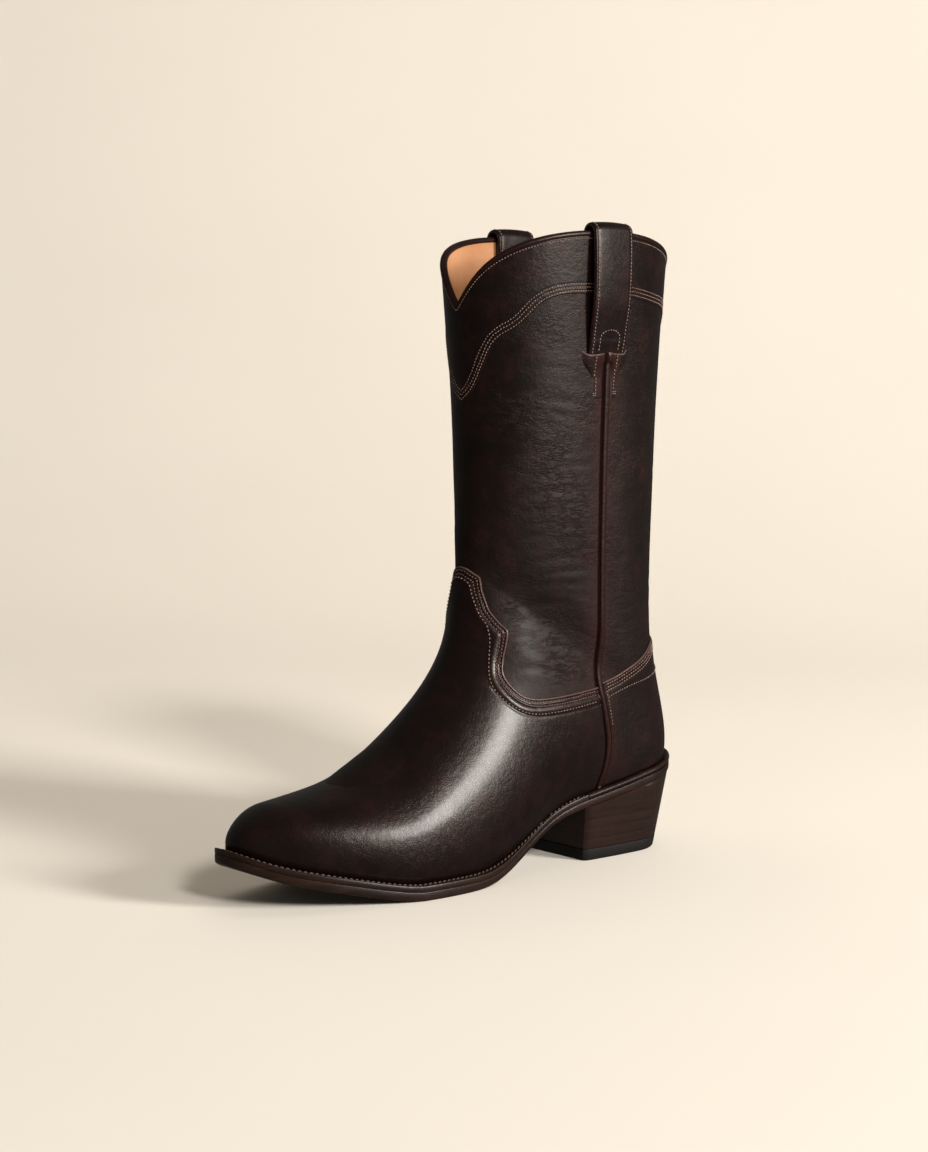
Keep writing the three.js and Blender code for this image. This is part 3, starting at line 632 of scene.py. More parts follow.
def seam_offset(panel, rise):
    panel = np.mod(panel, 4)
    apart = np.where(panel < 2, panel - 1, 3 - panel)
    ahead, behind = np.interp(rise, run_rises, ahead_run), np.interp(rise, run_rises, behind_run)
    return apart * np.where(apart > 0, ahead, behind)


groove_at, groove_deep, groove_half = 0.7, 1.7, 0.6
print("panel runs in front of and behind the seam:", ahead_run[::10].round(), behind_run[::10].round())

# %% [markdown]
# ## The creases of a worn leg
# The leg is worn-in leather: at the ankle it folds a little above the tongue and behind the heel, and
# higher up it carries shallow creases that run across. The main creases are listed one by one, each with
# its turn, height, length, tilt, width and depth in millimetres; the finest ones are left to the bump.

# %% Creases, listed one by one
# turn in degrees, height, length, tilt (rise per length), width, depth
crease_table = np.array([
    [121, 286, 26, 0.10, 2.4, 0.45], [112, 279, 22, 0.22, 2.0, 0.35], [128, 274, 20, -0.05, 2.2, 0.35],
    [116, 268, 30, 0.18, 2.6, 0.45], [107, 258, 24, 0.30, 2.2, 0.35], [124, 254, 20, 0.05, 2.0, 0.30],
    [118, 240, 24, 0.12, 2.4, 0.30], [106, 231, 20, -0.10, 2.2, 0.35], [126, 226, 26, 0.08, 2.6, 0.35],
    [114, 217, 30, -0.06, 2.6, 0.50], [103, 209, 22, 0.12, 2.2, 0.40], [120, 206, 26, 0.05, 2.4, 0.40],
    [110, 197, 26, 0.16, 2.4, 0.40], [125, 192, 22, -0.12, 2.2, 0.35], [104, 186, 22, 0.35, 2.2, 0.40],
    [117, 178, 30, -0.20, 2.8, 0.55], [107, 171, 24, -0.10, 2.4, 0.50], [113, 164, 30, 0.02, 2.6, 0.55],
    [102, 158, 20, 0.22, 2.2, 0.40], [116, 153, 26, -0.06, 2.4, 0.45], [108, 144, 22, 0.15, 2.2, 0.35],
    [96, 136, 18, 0.55, 2.0, 0.35], [105, 128, 24, 0.30, 2.2, 0.40], [98, 119, 20, 0.40, 2.2, 0.40],
    [112, 116, 26, 0.20, 2.4, 0.40], [60, 250, 24, -0.10, 2.4, 0.30], [52, 214, 26, 0.08, 2.6, 0.40],
    [63, 178, 26, -0.06, 2.6, 0.45], [48, 150, 30, 0.12, 3.0, 0.55], [62, 138, 24, -0.15, 2.6, 0.45],
    [20, 160, 34, 0.02, 3.2, 0.55], [12, 182, 30, -0.05, 3.0, 0.45], [30, 226, 26, 0.06, 2.6, 0.35],
    [-18, 168, 34, 0.04, 3.2, 0.55], [-30, 205, 28, -0.06, 2.8, 0.40], [-52, 160, 30, 0.10, 3.0, 0.50],
    [-60, 232, 26, 0.08, 2.6, 0.35], [-100, 170, 30, -0.06, 2.8, 0.50], [-112, 156, 30, 0.10, 2.8, 0.50],
    [-104, 214, 28, 0.06, 2.6, 0.45], [-118, 250, 28, 0.10, 2.6, 0.40], [-98, 138, 26, 0.12, 2.6, 0.45],
    [-110, 280, 24, -0.06, 2.4, 0.35], [-125, 190, 26, 0.04, 2.6, 0.40], [-108, 120, 26, 0.20, 2.4, 0.40],
    [158, 206, 22, -0.10, 2.6, 0.30], [163, 190, 20, 0.05, 2.4, 0.35], [-160, 198, 22, 0.05, 2.4, 0.30]])


def creases(turn, height):
    total = np.zeros(np.shape(turn))
    for at_turn, at_height, length, tilt, width, depth in crease_table:
        apart = np.radians((np.degrees(turn) - at_turn + 180) % 360 - 180) * shaft_width * 0.62
        line = (height - at_height - tilt * apart + 0.006 * apart ** 2) / width
        fade = np.exp(-(apart / length * 1.9) ** 4)
        total += 0.3 * depth * fade * (0.55 * np.exp(-(np.abs(line) - 1.5) ** 2) - np.exp(-line ** 2))
    return total


def leg_lift(panel, rise, height):
    """How far the worn leather stands off its smooth form."""
    turn = turn_at(panel, rise)
    wave = np.sin(height / 17 + 2.2 * np.cos(turn)) * np.exp(-((height - 190) / 70) ** 2)
    fade = smooth((rise - 0.40) / 0.08) * smooth((0.985 - rise) / 0.05)
    return (creases(turn, height) + 0.08 * wave) * fade


# %% [markdown]
# ## The leg
# One skin goes all the way round, from the welt to the collar. It is the base on which the vamp, the
# counter and the yoke lie, and it stands for the whole upper of the solid model.

# %% The leg leather
plain_panels = np.arange(0, 4, 0.0165)
apart = np.minimum(np.abs(plain_panels - 1), np.abs(plain_panels - 3))
seam_steps = np.array([-6, -5, -4, -3, -2, -1.2, -0.7, -0.3, 0, 0.25, 0.45, 0.6, 0.75, 0.9, 1.1, 1.4, 1.8,
                       2.4, 3.2, 4.2, 5.4]) / 73
leg_panels = np.unique(np.concatenate([plain_panels[apart > 0.085], 1 + seam_steps, 3 - seam_steps]).round(6))
leg_rises = marks(0, 0.03, 0.36, 0.006, 0.42, 0.0034, 1.0)
P, R = np.meshgrid(leg_panels, leg_rises, indexing="ij")
base, out = net(P, R, True)
lift = leg_lift(P, R, base[..., 2]) - groove_deep * np.exp(-((seam_offset(P, R) - groove_at) / groove_half) ** 2)
back = slice(None, None, -6)
leg_loops = np.concatenate([lifted(base, out, R, lift), lifted(base[:, back], out[:, back], R[:, back],
                                                              np.full(R[:, back].shape, -1.5))], 1)
flat = np.zeros(R[:, back].shape)
leg_masks = {
    "wrinkled": np.concatenate([smooth((R - 0.42) / 0.05) * smooth((0.98 - R) / 0.05), flat], 1),
    "worn": np.concatenate([0.7 * np.exp(-(seam_offset(P, R) / 9) ** 2), flat], 1),
    "dull": np.concatenate([0.55 * smooth((260 - base[..., 2]) / 90), flat], 1)}
leg = piece("leg_leather", leg_loops, looped(leg_loops, True), leg_finish, ("upper",), leg_masks)

# %% [markdown]
# ### The lining
# A separate calf lining covers the whole inside down to the insole, which is why the open collar glows
# orange tan against the dark leather.

# %% The lining
P, R = np.meshgrid(np.arange(0, 4, 0.03), marks(0.0, 0.02, 1.0), indexing="ij")
base, out = net(P, R, True)
lining_loops = np.concatenate([lifted(base, out, R, np.full(R.shape, -1.55)),
                               lifted(base, out, R, np.full(R.shape, -wall))[:, ::-1]], 1)
lining = piece("calf_lining", lining_loops, looped(lining_loops, True), lining_finish)

# %% [markdown]
# ## Pieces laid on the leg
# The vamp, the counter and the yoke are cut flat, skived thin at the edge, folded and stitched down. Each
# is made the same way here: a grid between its own edges, lifted off the leg by its thickness, with the
# lift rounding down to the leg at each free edge and dipping a little under each row of stitches.

# %% Laying a piece on the leg
def rounded(line, spread):
    """A line of points through the table's stops, with its corners softened like folded leather."""
    line = np.asarray(line, float)
    length = np.concatenate([[0], np.cumsum(np.linalg.norm(np.diff(place(line[:, 0], line[:, 1]), axis=0), axis=1))])
    fine = np.linspace(0, length[-1], int(length[-1] / 0.4) + 1)
    dense = np.stack([np.interp(fine, length, line[:, i]) for i in (0, 1)], -1)
    reach_of = int(spread / 0.4 * 3)
    weights = np.exp(-0.5 * (np.arange(-reach_of, reach_of + 1) * 0.4 / spread) ** 2)
    padded = np.concatenate([2 * dense[:1] - dense[reach_of:0:-1], dense,
                             2 * dense[-1:] - dense[-2:-reach_of - 2:-1]])
    soft = np.stack([np.convolve(padded[:, i], weights / weights.sum(), "valid") for i in (0, 1)], -1)
    soft[0], soft[-1] = dense[0], dense[-1]
    return soft


def edge_steps(length, coarse):
    """Shares of a column, from its top edge down: crowded at the edge and its stitches, then even."""
    close = np.concatenate([[0, 0.12, 0.3, 0.55, 0.85, 1.2], np.arange(1.7, 13.5, 0.55)])
    rest = np.linspace(0, 1, coarse + 1)[1:]
    down = np.concatenate([close[None] / length[:, None] + np.zeros((len(length), 1)),
                           mix(close[-1] / length[:, None], 1, rest[None])], 1)
    return 1 - down


vamp_row_places, counter_row_places, yoke_row_places = (2.2, 4.3), (2.0, 3.9, 5.8), (1.6, 3.6, 5.6)
overlay_thick, yoke_thick, fold_radius_of_edge = 1.15, 0.5, 0.95


def row_dip(distance, rows, deep):
    return sum(-deep * np.exp(-((distance - at) / 0.6) ** 2) for at in rows)


def lay_on(name, panel, rise, edges, thick, finish, extra, masks, wraps=False):
    base, out = net(panel, rise, wraps)
    distance = np.minimum.reduce([reach(base, edge) for edge in edges])
    lift = 0.12 + (thick - 0.12) * quarter_round(distance / fold_radius_of_edge) + extra(base, distance)
    back = slice(None, None, -5)
    under = lifted(base[:, back], out[:, back], rise[:, back], np.full(rise[:, back].shape, 0.05))
    loops = np.concatenate([lifted(base, out, rise, lift), under], 1)
    flat = np.zeros(under.shape[:2])
    layers = {key: np.concatenate([value(base, distance) + 0 * distance, flat], 1) for key, value in masks.items()}
    return piece(name, loops, looped(loops, wraps), finish, (name,), layers)


# %% [markdown]
# ### The vamp
# The vamp covers the foot in one stretch, lasted without a wrinkle. Its top edge runs level from the side
# seam, steps up in a corner and ends in a broad tongue with a small notch each side. Two rows of
# stitches follow the edge closely, and a third runs a finger's width below.

# %% The vamp
vamp_stops = [
    [1.0, 0.428], [1.148, 0.423], [1.282, 0.420], [1.379, 0.427], [1.468, 0.450], [1.531, 0.473], [1.553, 0.500],
    [1.550, 0.530], [1.616, 0.540], [1.680, 0.553], [1.736, 0.580], [1.760, 0.603], [1.907, 0.617], [2.0, 0.62]]
curl = spline(np.arange(7), np.array(vamp_stops)[:7, 0]), spline(np.arange(7), np.array(vamp_stops)[:7, 1])
level_part = np.stack([part(np.linspace(0, 6, 60)) for part in curl], -1)
vamp_edge = rounded(np.concatenate([level_part, vamp_stops[7:]]), 0.7)
vamp_edge[0, 0] = beside_seam(1.0, vamp_edge[0, 1])
columns = np.unique(np.concatenate([np.linspace(0, 1, 150), np.array([0.1, 0.3, 0.55, 0.85, 1.2, 1.7]) / 175]))
at_top = np.interp(columns, np.linspace(0, 1, len(vamp_edge)), np.arange(len(vamp_edge)))
top_panel, top_rise = (np.interp(at_top, np.arange(len(vamp_edge)), vamp_edge[:, i]) for i in (0, 1))
top_share = (top_panel - top_panel[0]) / (2 - top_panel[0])
side_lengths = np.array([np.linalg.norm(np.diff(place(np.linspace(1 + c, p, 30), np.linspace(0, r, 30)), axis=0),
                                        axis=1).sum() for c, p, r in zip(columns, top_panel, top_rise)])
T = edge_steps(side_lengths * 1.12, 110)
R = top_rise[:, None] * T
share = mix(columns[:, None], top_share[:, None], T ** 2)
P = mix(beside_seam(1.0, R), 2.0, share)
P, R = np.concatenate([P, 4 - P[-2::-1]]), np.concatenate([R, R[-2::-1]])
top_line, back_line = place(P[:, 0], R[:, 0]), np.concatenate([place(P[0], R[0]), place(P[-1], R[-1])])
vamp_top_reach = reach(place(P, R), top_line)


def vamp_shape(base, distance):
    level = smooth((1.64 - np.where(P > 2, 4 - P, P)) / 0.06)
    rows = row_dip(vamp_top_reach, vamp_row_places, 0.42)
    rows = rows + 0.45 * np.exp(-((vamp_top_reach - 7.2) / 1.9) ** 2)
    rows = rows - 0.25 * level * np.exp(-((vamp_top_reach - 10.2) / 0.8) ** 2)
    return rows + 0.85 * leg_lift(P, R, base[..., 2]) * smooth((R - 0.40) / 0.1)


# Pale just inside a folded edge: a painted highlight on the rim of the fold. The fainter, wider tail over the fold is
# rubbed wear.
def edge_wear_and_highlight(from_edge, from_fold):
    return 1.2 * np.exp(-((from_edge - 0.45) / 0.5) ** 2) + 0.3 * np.exp(-from_fold ** 2)


vamp = lay_on(
    "vamp", P, R, (top_line, back_line), overlay_thick, foot_finish, vamp_shape,
    {"wrinkled": lambda base, distance: 0.9 * np.exp(-((base[..., 1] + 203) / 26) ** 2),
     "worn": lambda base, distance: edge_wear_and_highlight(vamp_top_reach, vamp_top_reach / 9),
     "dull": lambda base, distance: 0.5 * smooth((base[..., 2] - 130) / 40)})
vamp_grid = P, R, vamp_top_reach

# %% [markdown]
# ### The counter
# The counter is the stiff piece round the heel. Its top edge rises towards the back in a low arch with
# three rows of stitches, and its front edges stand behind the side ribs.

# %% The counter
counter_stops = [[1.0, 0.433], [0.862, 0.450], [0.732, 0.477], [0.472, 0.523], [0.24, 0.5405], [0.0, 0.545]]
counter_edge = rounded(counter_stops, 2.0)[::-1]
columns = np.unique(np.concatenate([np.linspace(0, 1, 80), 1 - np.array([0.12, 0.3, 0.55, 0.85, 1.2, 1.7]) / 90]))
limit = beside_seam(-4.0, 0.44)
top_rise = np.interp(columns * limit, counter_edge[:, 0], counter_edge[:, 1])
side_lengths = np.full(len(columns), 105.0) + 40 * (1 - columns)
T = edge_steps(side_lengths * 1.05, 70)
R = top_rise[:, None] * T
P = columns[:, None] * beside_seam(-4.0, R)
P, R = np.concatenate([-P[:0:-1], P]), np.concatenate([R[:0:-1], R])
top_line, front_line = place(P[:, 0], R[:, 0]), np.concatenate([place(P[0], R[0]), place(P[-1], R[-1])])
counter_top_reach = reach(place(P, R), top_line)
counter_front_reach = reach(place(P, R), front_line)


def counter_shape(base, distance):
    rows = row_dip(counter_top_reach, counter_row_places, 0.2) + row_dip(counter_front_reach, (2.2,), 0.2)
    return rows + 0.85 * leg_lift(P, R, base[..., 2]) * smooth((R - 0.40) / 0.1)


counter = lay_on(
    "counter", P, R, (top_line, front_line), overlay_thick, foot_finish, counter_shape,
    {"wrinkled": lambda base, distance: 0.25,
     "worn": lambda base, distance: edge_wear_and_highlight(reach(base, top_line), distance / 8),
     "dull": lambda base, distance: 0.5 + 0 * distance})
counter_grid = P, R, counter_top_reach

# %% [markdown]
# ### The collar yoke
# The yoke is a thin band of the same leather under the collar, drawn down to a point at the front and
# another at the back. It is so thin that only its edge and its three rows of stitches show it.

# %% The collar yoke
yoke_stops = np.array([
    [0.00, 0.95], [0.11, 0.82], [0.22, 0.66], [0.33, 0.54], [0.57, 0.46], [0.82, 0.42], [1.16, 0.40], [1.32, 0.425],
    [1.42, 0.49], [1.53, 0.61], [1.64, 0.68], [1.71, 0.75], [1.77, 0.86], [1.83, 0.97], [2.00, 1.11]])
yoke_depth = spline(yoke_stops[:, 0], yoke_stops[:, 1])
folded = np.where(leg_panels > 2, 4 - leg_panels, leg_panels)
yoke_foot = rim_height - yoke_depth(folded) * shaft_width
levels = np.linspace(0.5, 1.0, 60)
ladder = place(leg_panels[:, None], levels[None])[..., 2]
low_rise = np.array([np.interp(z, row, levels) for z, row in zip(yoke_foot, ladder)])
high_rise = rise_below(leg_panels, 1.4)
column_length = np.linalg.norm(place(leg_panels, high_rise) - place(leg_panels, low_rise), axis=1)
T = edge_steps(column_length, 26)
R = mix(high_rise[:, None], low_rise[:, None], T)
P = np.repeat(leg_panels[:, None], R.shape[1], 1)
low_line = place(leg_panels, low_rise)
yoke_reach = reach(place(P, R), low_line)
yoke_lines = (low_line,)


def yoke_shape(base, distance):
    cut = groove_deep * np.exp(-((seam_offset(P, R) - groove_at) / groove_half) ** 2)
    return leg_lift(P, R, base[..., 2]) - cut + row_dip(yoke_reach, yoke_row_places, 0.12)


# Rubbed wear along the yoke's edge and beside the seam. Where both meet, the mask reaches the pale tone of the
# painted highlight.
def yoke_wear_and_highlight(base, distance):
    return 0.5 * np.exp(-distance / 1.0) + 0.5 * np.exp(-(seam_offset(P, R) / 9) ** 2)


yoke = lay_on("collar_yoke", P, R, yoke_lines, yoke_thick, trim_finish, yoke_shape,
              {"wrinkled": lambda base, distance: 0.5, "worn": yoke_wear_and_highlight}, True)
yoke_grid = P, R, yoke_reach

# %% [markdown]
# ### The rim binding
# The collar is closed with a narrow strip that is folded over the edge and stitched through. Its top
# shows as a thin bright line against the tan lining.

# %% The rim binding
bead = np.array([
    [-1.7, 0.25], [-1.7, 0.6], [-1.4, 0.88], [-0.9, 1.05], [-0.3, 1.1], [0.4, 0.95], [1.0, 0.5], [1.35, -0.1],
    [1.42, -0.9], [1.35, -1.7], [1.05, -2.4], [0.5, -2.9], [-0.2, -3.1], [-0.9, -3.1], [-1.4, -2.95],
    [-1.7, -2.75], [-1.7, -2.3]])
rim_panels = np.arange(0, 4, 0.0125)
root = place(rim_panels, 1.0)
out, up, across = outward(rim_panels, np.ones(len(rim_panels)))
rim_loops = root[:, None] + up[:, None] * bead[None, :, :1] + out[:, None] * bead[None, :, 1:]
rim = piece("rim_binding", rim_loops, looped(rim_loops, True), trim_finish, ("rim_binding",),
            {"worn": np.full(rim_loops.shape[:2], 0.35)})

# %% [markdown]
# ### The side ribs
# A cord covered in leather fills the side seam. Between the vamp and the counter it stands in the slot
# of the two edges, and further up it is a low rib beside the groove.

# %% The side ribs
def side_rib(name, seam):
    rises = marks(0, 0.008, 0.985)
    side = np.linspace(0, 1, 15)
    high = np.interp(rises, [0, 0.40, 0.46, 1.0], [1.5, 1.45, 0.75, 0.7])
    offsets = mix(-0.15, -4.3, side)
    R = np.repeat(rises[:, None], len(side), 1)
    P = beside_seam(offsets[None] + 0 * R, R)
    base, out = place(P, R), outward(P, R)[0]
    dome = high[:, None] * np.maximum(0, 1 - np.abs(2 * side - 1) ** 3.2)[None] + 0.02
    lift = dome + leg_lift(P, R, base[..., 2])
    top = lifted(base, out, R, lift)
    foot = lifted(base, out, R, np.full(R.shape, -0.4))[:, ::-3]
    loops = np.concatenate([top, foot], 1)
    if seam == 3:
        P3 = 4 - P
        base, out = place(P3, R), outward(P3, R)[0]
        top = lifted(base, out, R, dome + leg_lift(P3, R, base[..., 2]))
        loops = np.concatenate([top, lifted(base, out, R, np.full(R.shape, -0.4))[:, ::-3]], 1)
    # Redder towards the crest of the rib: partly rubbed wear, partly a painted highlight along the crest.
    worn = np.concatenate([0.62 * dome / dome.max(1, keepdims=True), np.zeros(foot.shape[:2])], 1)
    return piece(name, loops, looped(loops, False), trim_finish, (name,), {"worn": worn})


ribs = [side_rib("side_piping_outer", 1), side_rib("side_piping_inner", 3)]

# %% [markdown]
# ### The pull straps
# A pull strap is a doubled band, sewn flat to the outside of the leg, carried over the rim in a bend and
# sewn down again inside. It stands a little proud of the leg, so that a finger finds it.

# %% The pull straps
strap_half, strap_thick, strap_drop, strap_sewn, strap_inside = 14.6, 2.5, 67.0, 9.0, 56.0
yoke_side = float(yoke_depth(1.0)) * shaft_width


def strap_lift(below):
    bow = 1.6 * np.sin(np.pi * np.clip(below / (strap_drop - strap_sewn), 0, 1)) ** 0.7
    flat = smooth((below - yoke_side - 1) / (strap_drop - strap_sewn - yoke_side - 1))
    return mix(1.9, 0.5, flat) + bow


def pull_strap(name, seam):
    rim = np.array([0.925, 0.965, 0.99, 1])
    aside = np.concatenate([-rim[::-1], np.linspace(-0.88, 0.88, 33), rim]) * strap_half
    edge = quarter_round((strap_half - np.abs(aside)) / 1.1)
    valley = 0.32 * np.exp(-((np.abs(aside) - 12.4) / 0.6) ** 2)
    crown = 0.35 * (1 - (aside / strap_half) ** 2)
    rows = []

    def add(point, ends=1.0, taper=1.0):
        thick = (strap_thick / 2) * edge * ends * taper
        middle = strap_thick / 2 * taper
        rows.append(np.concatenate([point(middle + thick + (crown - valley) * ends), point(middle - thick)[::-1]]))
    panels = seam + aside / panel_run(seam, 1.0) * (1 if seam == 1 else -1)
    below_steps = np.concatenate([strap_drop - np.array([0, 0.15, 0.4, 0.8]), np.arange(strap_drop - 1.3, 4.5, -1.0)])
    for below in below_steps:
        rise = rise_below(panels, below)
        base, out = place(panels, rise), outward(panels, rise)[0]
        height = float(strap_lift(below))
        ends = float(quarter_round((strap_drop - below) / 1.0)) * 0.9 + 0.1
        taper = mix(0.45, 1.0, float(smooth((strap_drop - below) / 8)))
        add(lambda lift: lifted(base, out, rise, height + lift), ends, taper)
    root = place(panels, 1.0)
    out, up, across = outward(panels, np.ones(len(panels)))
    fold_middle, fold_radius = (1.9 - 4.1) / 2, (1.9 + 4.1) / 2
    for angle in np.linspace(0, np.pi, 22):
        def bent(lift):
            radius = fold_radius + np.asarray(lift)[:, None]
            return root + up * (0.3 + radius * np.sin(angle)) + out * (fold_middle + radius * np.cos(angle))
        add(bent)
    for below in np.concatenate([np.arange(4.5, strap_inside - 1, 1.4), strap_inside - np.array([0.8, 0.3, 0])]):
        rise = rise_below(panels, below)
        base, out = place(panels, rise), outward(panels, rise)[0]
        height = mix(-4.1, -wall - 0.3, float(smooth((below - 4.5) / 11)))
        ends = float(quarter_round((strap_inside - below) / 1.0)) * 0.9 + 0.1
        add(lambda lift: lifted(base, out, rise, height - lift), ends)
    loops = np.array(rows)
    # Rubbed wear at both long edges, strong enough there to take the pale tone of a painted highlight on the rounded
    # edges.
    worn = np.concatenate([1 - edge, 1 - edge[::-1]])[None] * np.ones((len(loops), 1)) * 0.9
    made = piece(name, loops, looped(loops, False), trim_finish, (name,), {"worn": worn})
    return made, loops[:, :len(aside)], aside, below_steps


straps = [pull_strap("pull_strap_outer", 1), pull_strap("pull_strap_inner", 3)]


# %% [markdown]
# ### The strap covers
# Each strap's foot slips under a lip of the leg's own leather, which is cut in a shallow bracket. Its
# edge is painted pale as a highlight. The cover is a patch of the leg's pattern, lifted over the end of
# the strap and fading back into the leg.

# %% The strap covers
# millimetres beside the seam, millimetres below the collar
lip_table = np.array([[0, 65.3], [1.2, 65.0], [3, 65.6], [6, 66.1],
                      [12, 66.2], [14.5, 65.5], [16, 64.0], [18.6, 63.8]])
cover_half, cover_foot, cover_row_aside = 18.6, 95.0, 7.7


def strap_cover(name, seam):
    beside_the_fold = [0.1, 0.4, 0.55, 0.7, 0.85, 1.0, 1.3, 1.8]
    aside = np.unique(np.concatenate([np.arange(-cover_half, cover_half + 0.1, 0.75), beside_the_fold]))
    lip_at = np.interp(np.abs(aside), lip_table[:, 0], lip_table[:, 1])
    down = np.concatenate([[0, 0.12, 0.3, 0.55, 0.9, 1.4], np.arange(2.1, 31, 0.8)])
    side = 1 if seam == 1 else -1
    A = np.repeat(aside[:, None], len(down), 1)
    D = lip_at[:, None] + down[None] * (cover_foot - lip_at[:, None]) / down[-1]
    panels = seam + side * A / panel_run(seam, 0.85)
    R = rise_below(panels, D)
    base, out = net(panels, R)
    beside = smooth((np.abs(A + 1.6) - 2.7) / 1.2)
    half = mix(cover_half, 10.4, smooth((D - 67) / 14))
    fade = smooth((half - np.abs(A)) / 2.4) * smooth((cover_foot - 1 - D) / 3)
    fade = fade * (1 - smooth((D - 70) / 4) * (1 - beside))
    over = 1.8 * np.exp(-((D - 66) / 9) ** 2) * smooth((17.2 - np.abs(A)) / 5)
    ridge = 0.7 * np.maximum(0, 1 - np.abs((A + 2.2) / 2.1) ** 3.2) * smooth((D - 65) / 3)
    rows = 0.3 * np.exp(-((np.abs(A) - cover_row_aside) / 0.7) ** 2) * smooth((90 - D) / 3)
    cut = groove_deep * np.exp(-((A - groove_at) / groove_half) ** 2)
    edge = quarter_round((D - lip_at[:, None]) / 0.9)
    shape = (0.12 + over + ridge - rows - (1 - edge)) * fade - 0.3 * (1 - fade)
    lift = leg_lift(panels, R, base[..., 2]) - cut + shape
    under = np.minimum(lift - 0.45, 0.8 * over - 0.4)
    loops = np.concatenate([lifted(base, out, R, lift), lifted(base, out, R, under)[:, ::-3]], 1)
    rubbed = 0.7 * smooth((12 - np.abs(A)) / 4) * smooth((cover_foot - D) / 12) * fade
    # The middle of the cover is rubbed wine red. Along the lip the mask reaches the pale tone, a painted highlight on
    # the edge.
    worn = np.maximum(rubbed, 1.6 * smooth((2.0 - (D - lip_at[:, None])) / 1.6) * smooth((17.5 - np.abs(A)) / 1.5))
    flat = np.zeros((len(aside), loops.shape[1] - worn.shape[1]))
    wrinkled = smooth((np.abs(A) - 6) / 4)
    return piece(name, loops, looped(loops, False), leg_finish, (),
                 {"worn": np.concatenate([worn, flat], 1), "wrinkled": np.concatenate([wrinkled, flat], 1)}, 50)


covers = [strap_cover("strap_cover_outer", 1), strap_cover("strap_cover_inner", 3)]

# %% [markdown]
# ## The welt and the rand
# The welt is a leather strip sewn round the forefoot to the upper and insole, and the outsole is
# stitched to it. At the heel a rounded rand carries its line on. Both are swept along the feather line,
# with a section that has a rounded lip, and on the welt a shallow channel for the stitches.

# %% The welt and the rand
upper_foot = 1.35
# share of the open width, offset, level between the foot and the top of the strip
welt_section = np.array([
    [0, -6.2, 0.0], [1, -1.1, -0.08], [1, -0.2, -0.08], [1, -0.02, 0.0], [1, 0.02, 0.5], [1, -0.02, 0.84],
    [1, -0.2, 0.97], [1, -0.7, 1.01], [0.62, -0.2, 1.0], [0.25, 0.75, 0.99], [0.25, 0.35, 0.9],
    [0.25, -0.35, 0.9], [0.25, -0.75, 0.99], [0, 0.1, 1.0], [0, -6.2, 1.0]])
rand_section = np.array([
    [0, -6.2, 0.0], [1, -1.4, -0.04], [1, -0.5, 0.05], [1, 0.1, 0.25], [1, 0.35, 0.5], [1, 0.1, 0.78],
    [1, -0.5, 0.97], [1, -1.3, 1.03], [0.3, -0.3, 0.97], [0, 0.1, 0.93], [0, -6.2, 0.93]])


def foot_strip(name, panels, section, finish):
    margin = edge_margin(-place(panels, 0.0)[:, 1])
    loops = []
    for share, offset, level in section:
        def height(along):
            return mix(welt_foot(along), welt_foot(along) + welt_thick, level)
        loops.append(at_edge(panels, height, lift=upper_foot + (margin - upper_foot) * share + offset))
    loops = np.stack(loops, 1)
    worn = np.repeat((section[:, 0] > 0.9)[None] * 0.6, len(loops), 0)
    return piece(name, loops, looped(loops, False), finish, (name,), {"worn": worn}, 50)


breast_panel = 1.03
breast_gap = 0.6 / panel_run(breast_panel, 0.0)
welt_panels = np.linspace(breast_panel + breast_gap, 4 - breast_panel - breast_gap, 360)
welt = foot_strip("welt", welt_panels, welt_section, edge_finish)
rand = foot_strip("heel_rand", np.linspace(-breast_panel, breast_panel, 170), rand_section, edge_finish)

# %% [markdown]
# ### The outsole
# The outsole is one leather bend, thick at the forepart and thinned at the waist. Its edge is trimmed
# square, then set with a warm iron that rounds both corners.

# %% The outsole
sole_section = [(1.1, 0.0), (0.4, 0.05), (0.08, 0.2), (0.0, 0.5), (0.0, 0.86), (0.16, 0.97), (0.9, 1.0)]
ring_panels = np.linspace(0, 4, 440, endpoint=False)
sole_rings = np.array([at_edge(ring_panels, lambda along: mix(underside(along), sole_top(along), level), inset)
                       for inset, level in sole_section])
outsole = piece("outsole", sole_rings, capped(sole_rings), edge_finish, ("outsole",),
                {"worn": np.full(sole_rings.shape[:2], 0.3)}, 40)
outsole.data.materials.append(tread_finish)
corners = outsole.data.vertices
for face in outsole.data.polygons:
    wide = (corners[face.vertices[0]].co - corners[face.vertices[-1]].co).length > 0.02
    face.material_index = int(face.normal.z < -0.85 and len(face.vertices) <= 4 and wide)

# %% [markdown]
# ### The heel
# The heel is a stack of leather lifts nailed through the seat, cut to a D and raked in towards the
# floor, with a rubber lift under it. Fine grooves show where one lift ends and the next begins.

# %% The heel
heel_share, heel_step, breast_step, heel_inset = 0.86, 10.0, 2.0, 0.8
heel_side = np.linspace(0, breast_panel, 60)
side_seat = at_edge(heel_side, underside, heel_inset)
side_along = -side_seat[:, 1]
back_line, breast_line = side_along[0], side_along[-1]
heel_ceiling = underside(side_along) - gap
centre = np.array([0.0, -(back_line + breast_line) / 2])


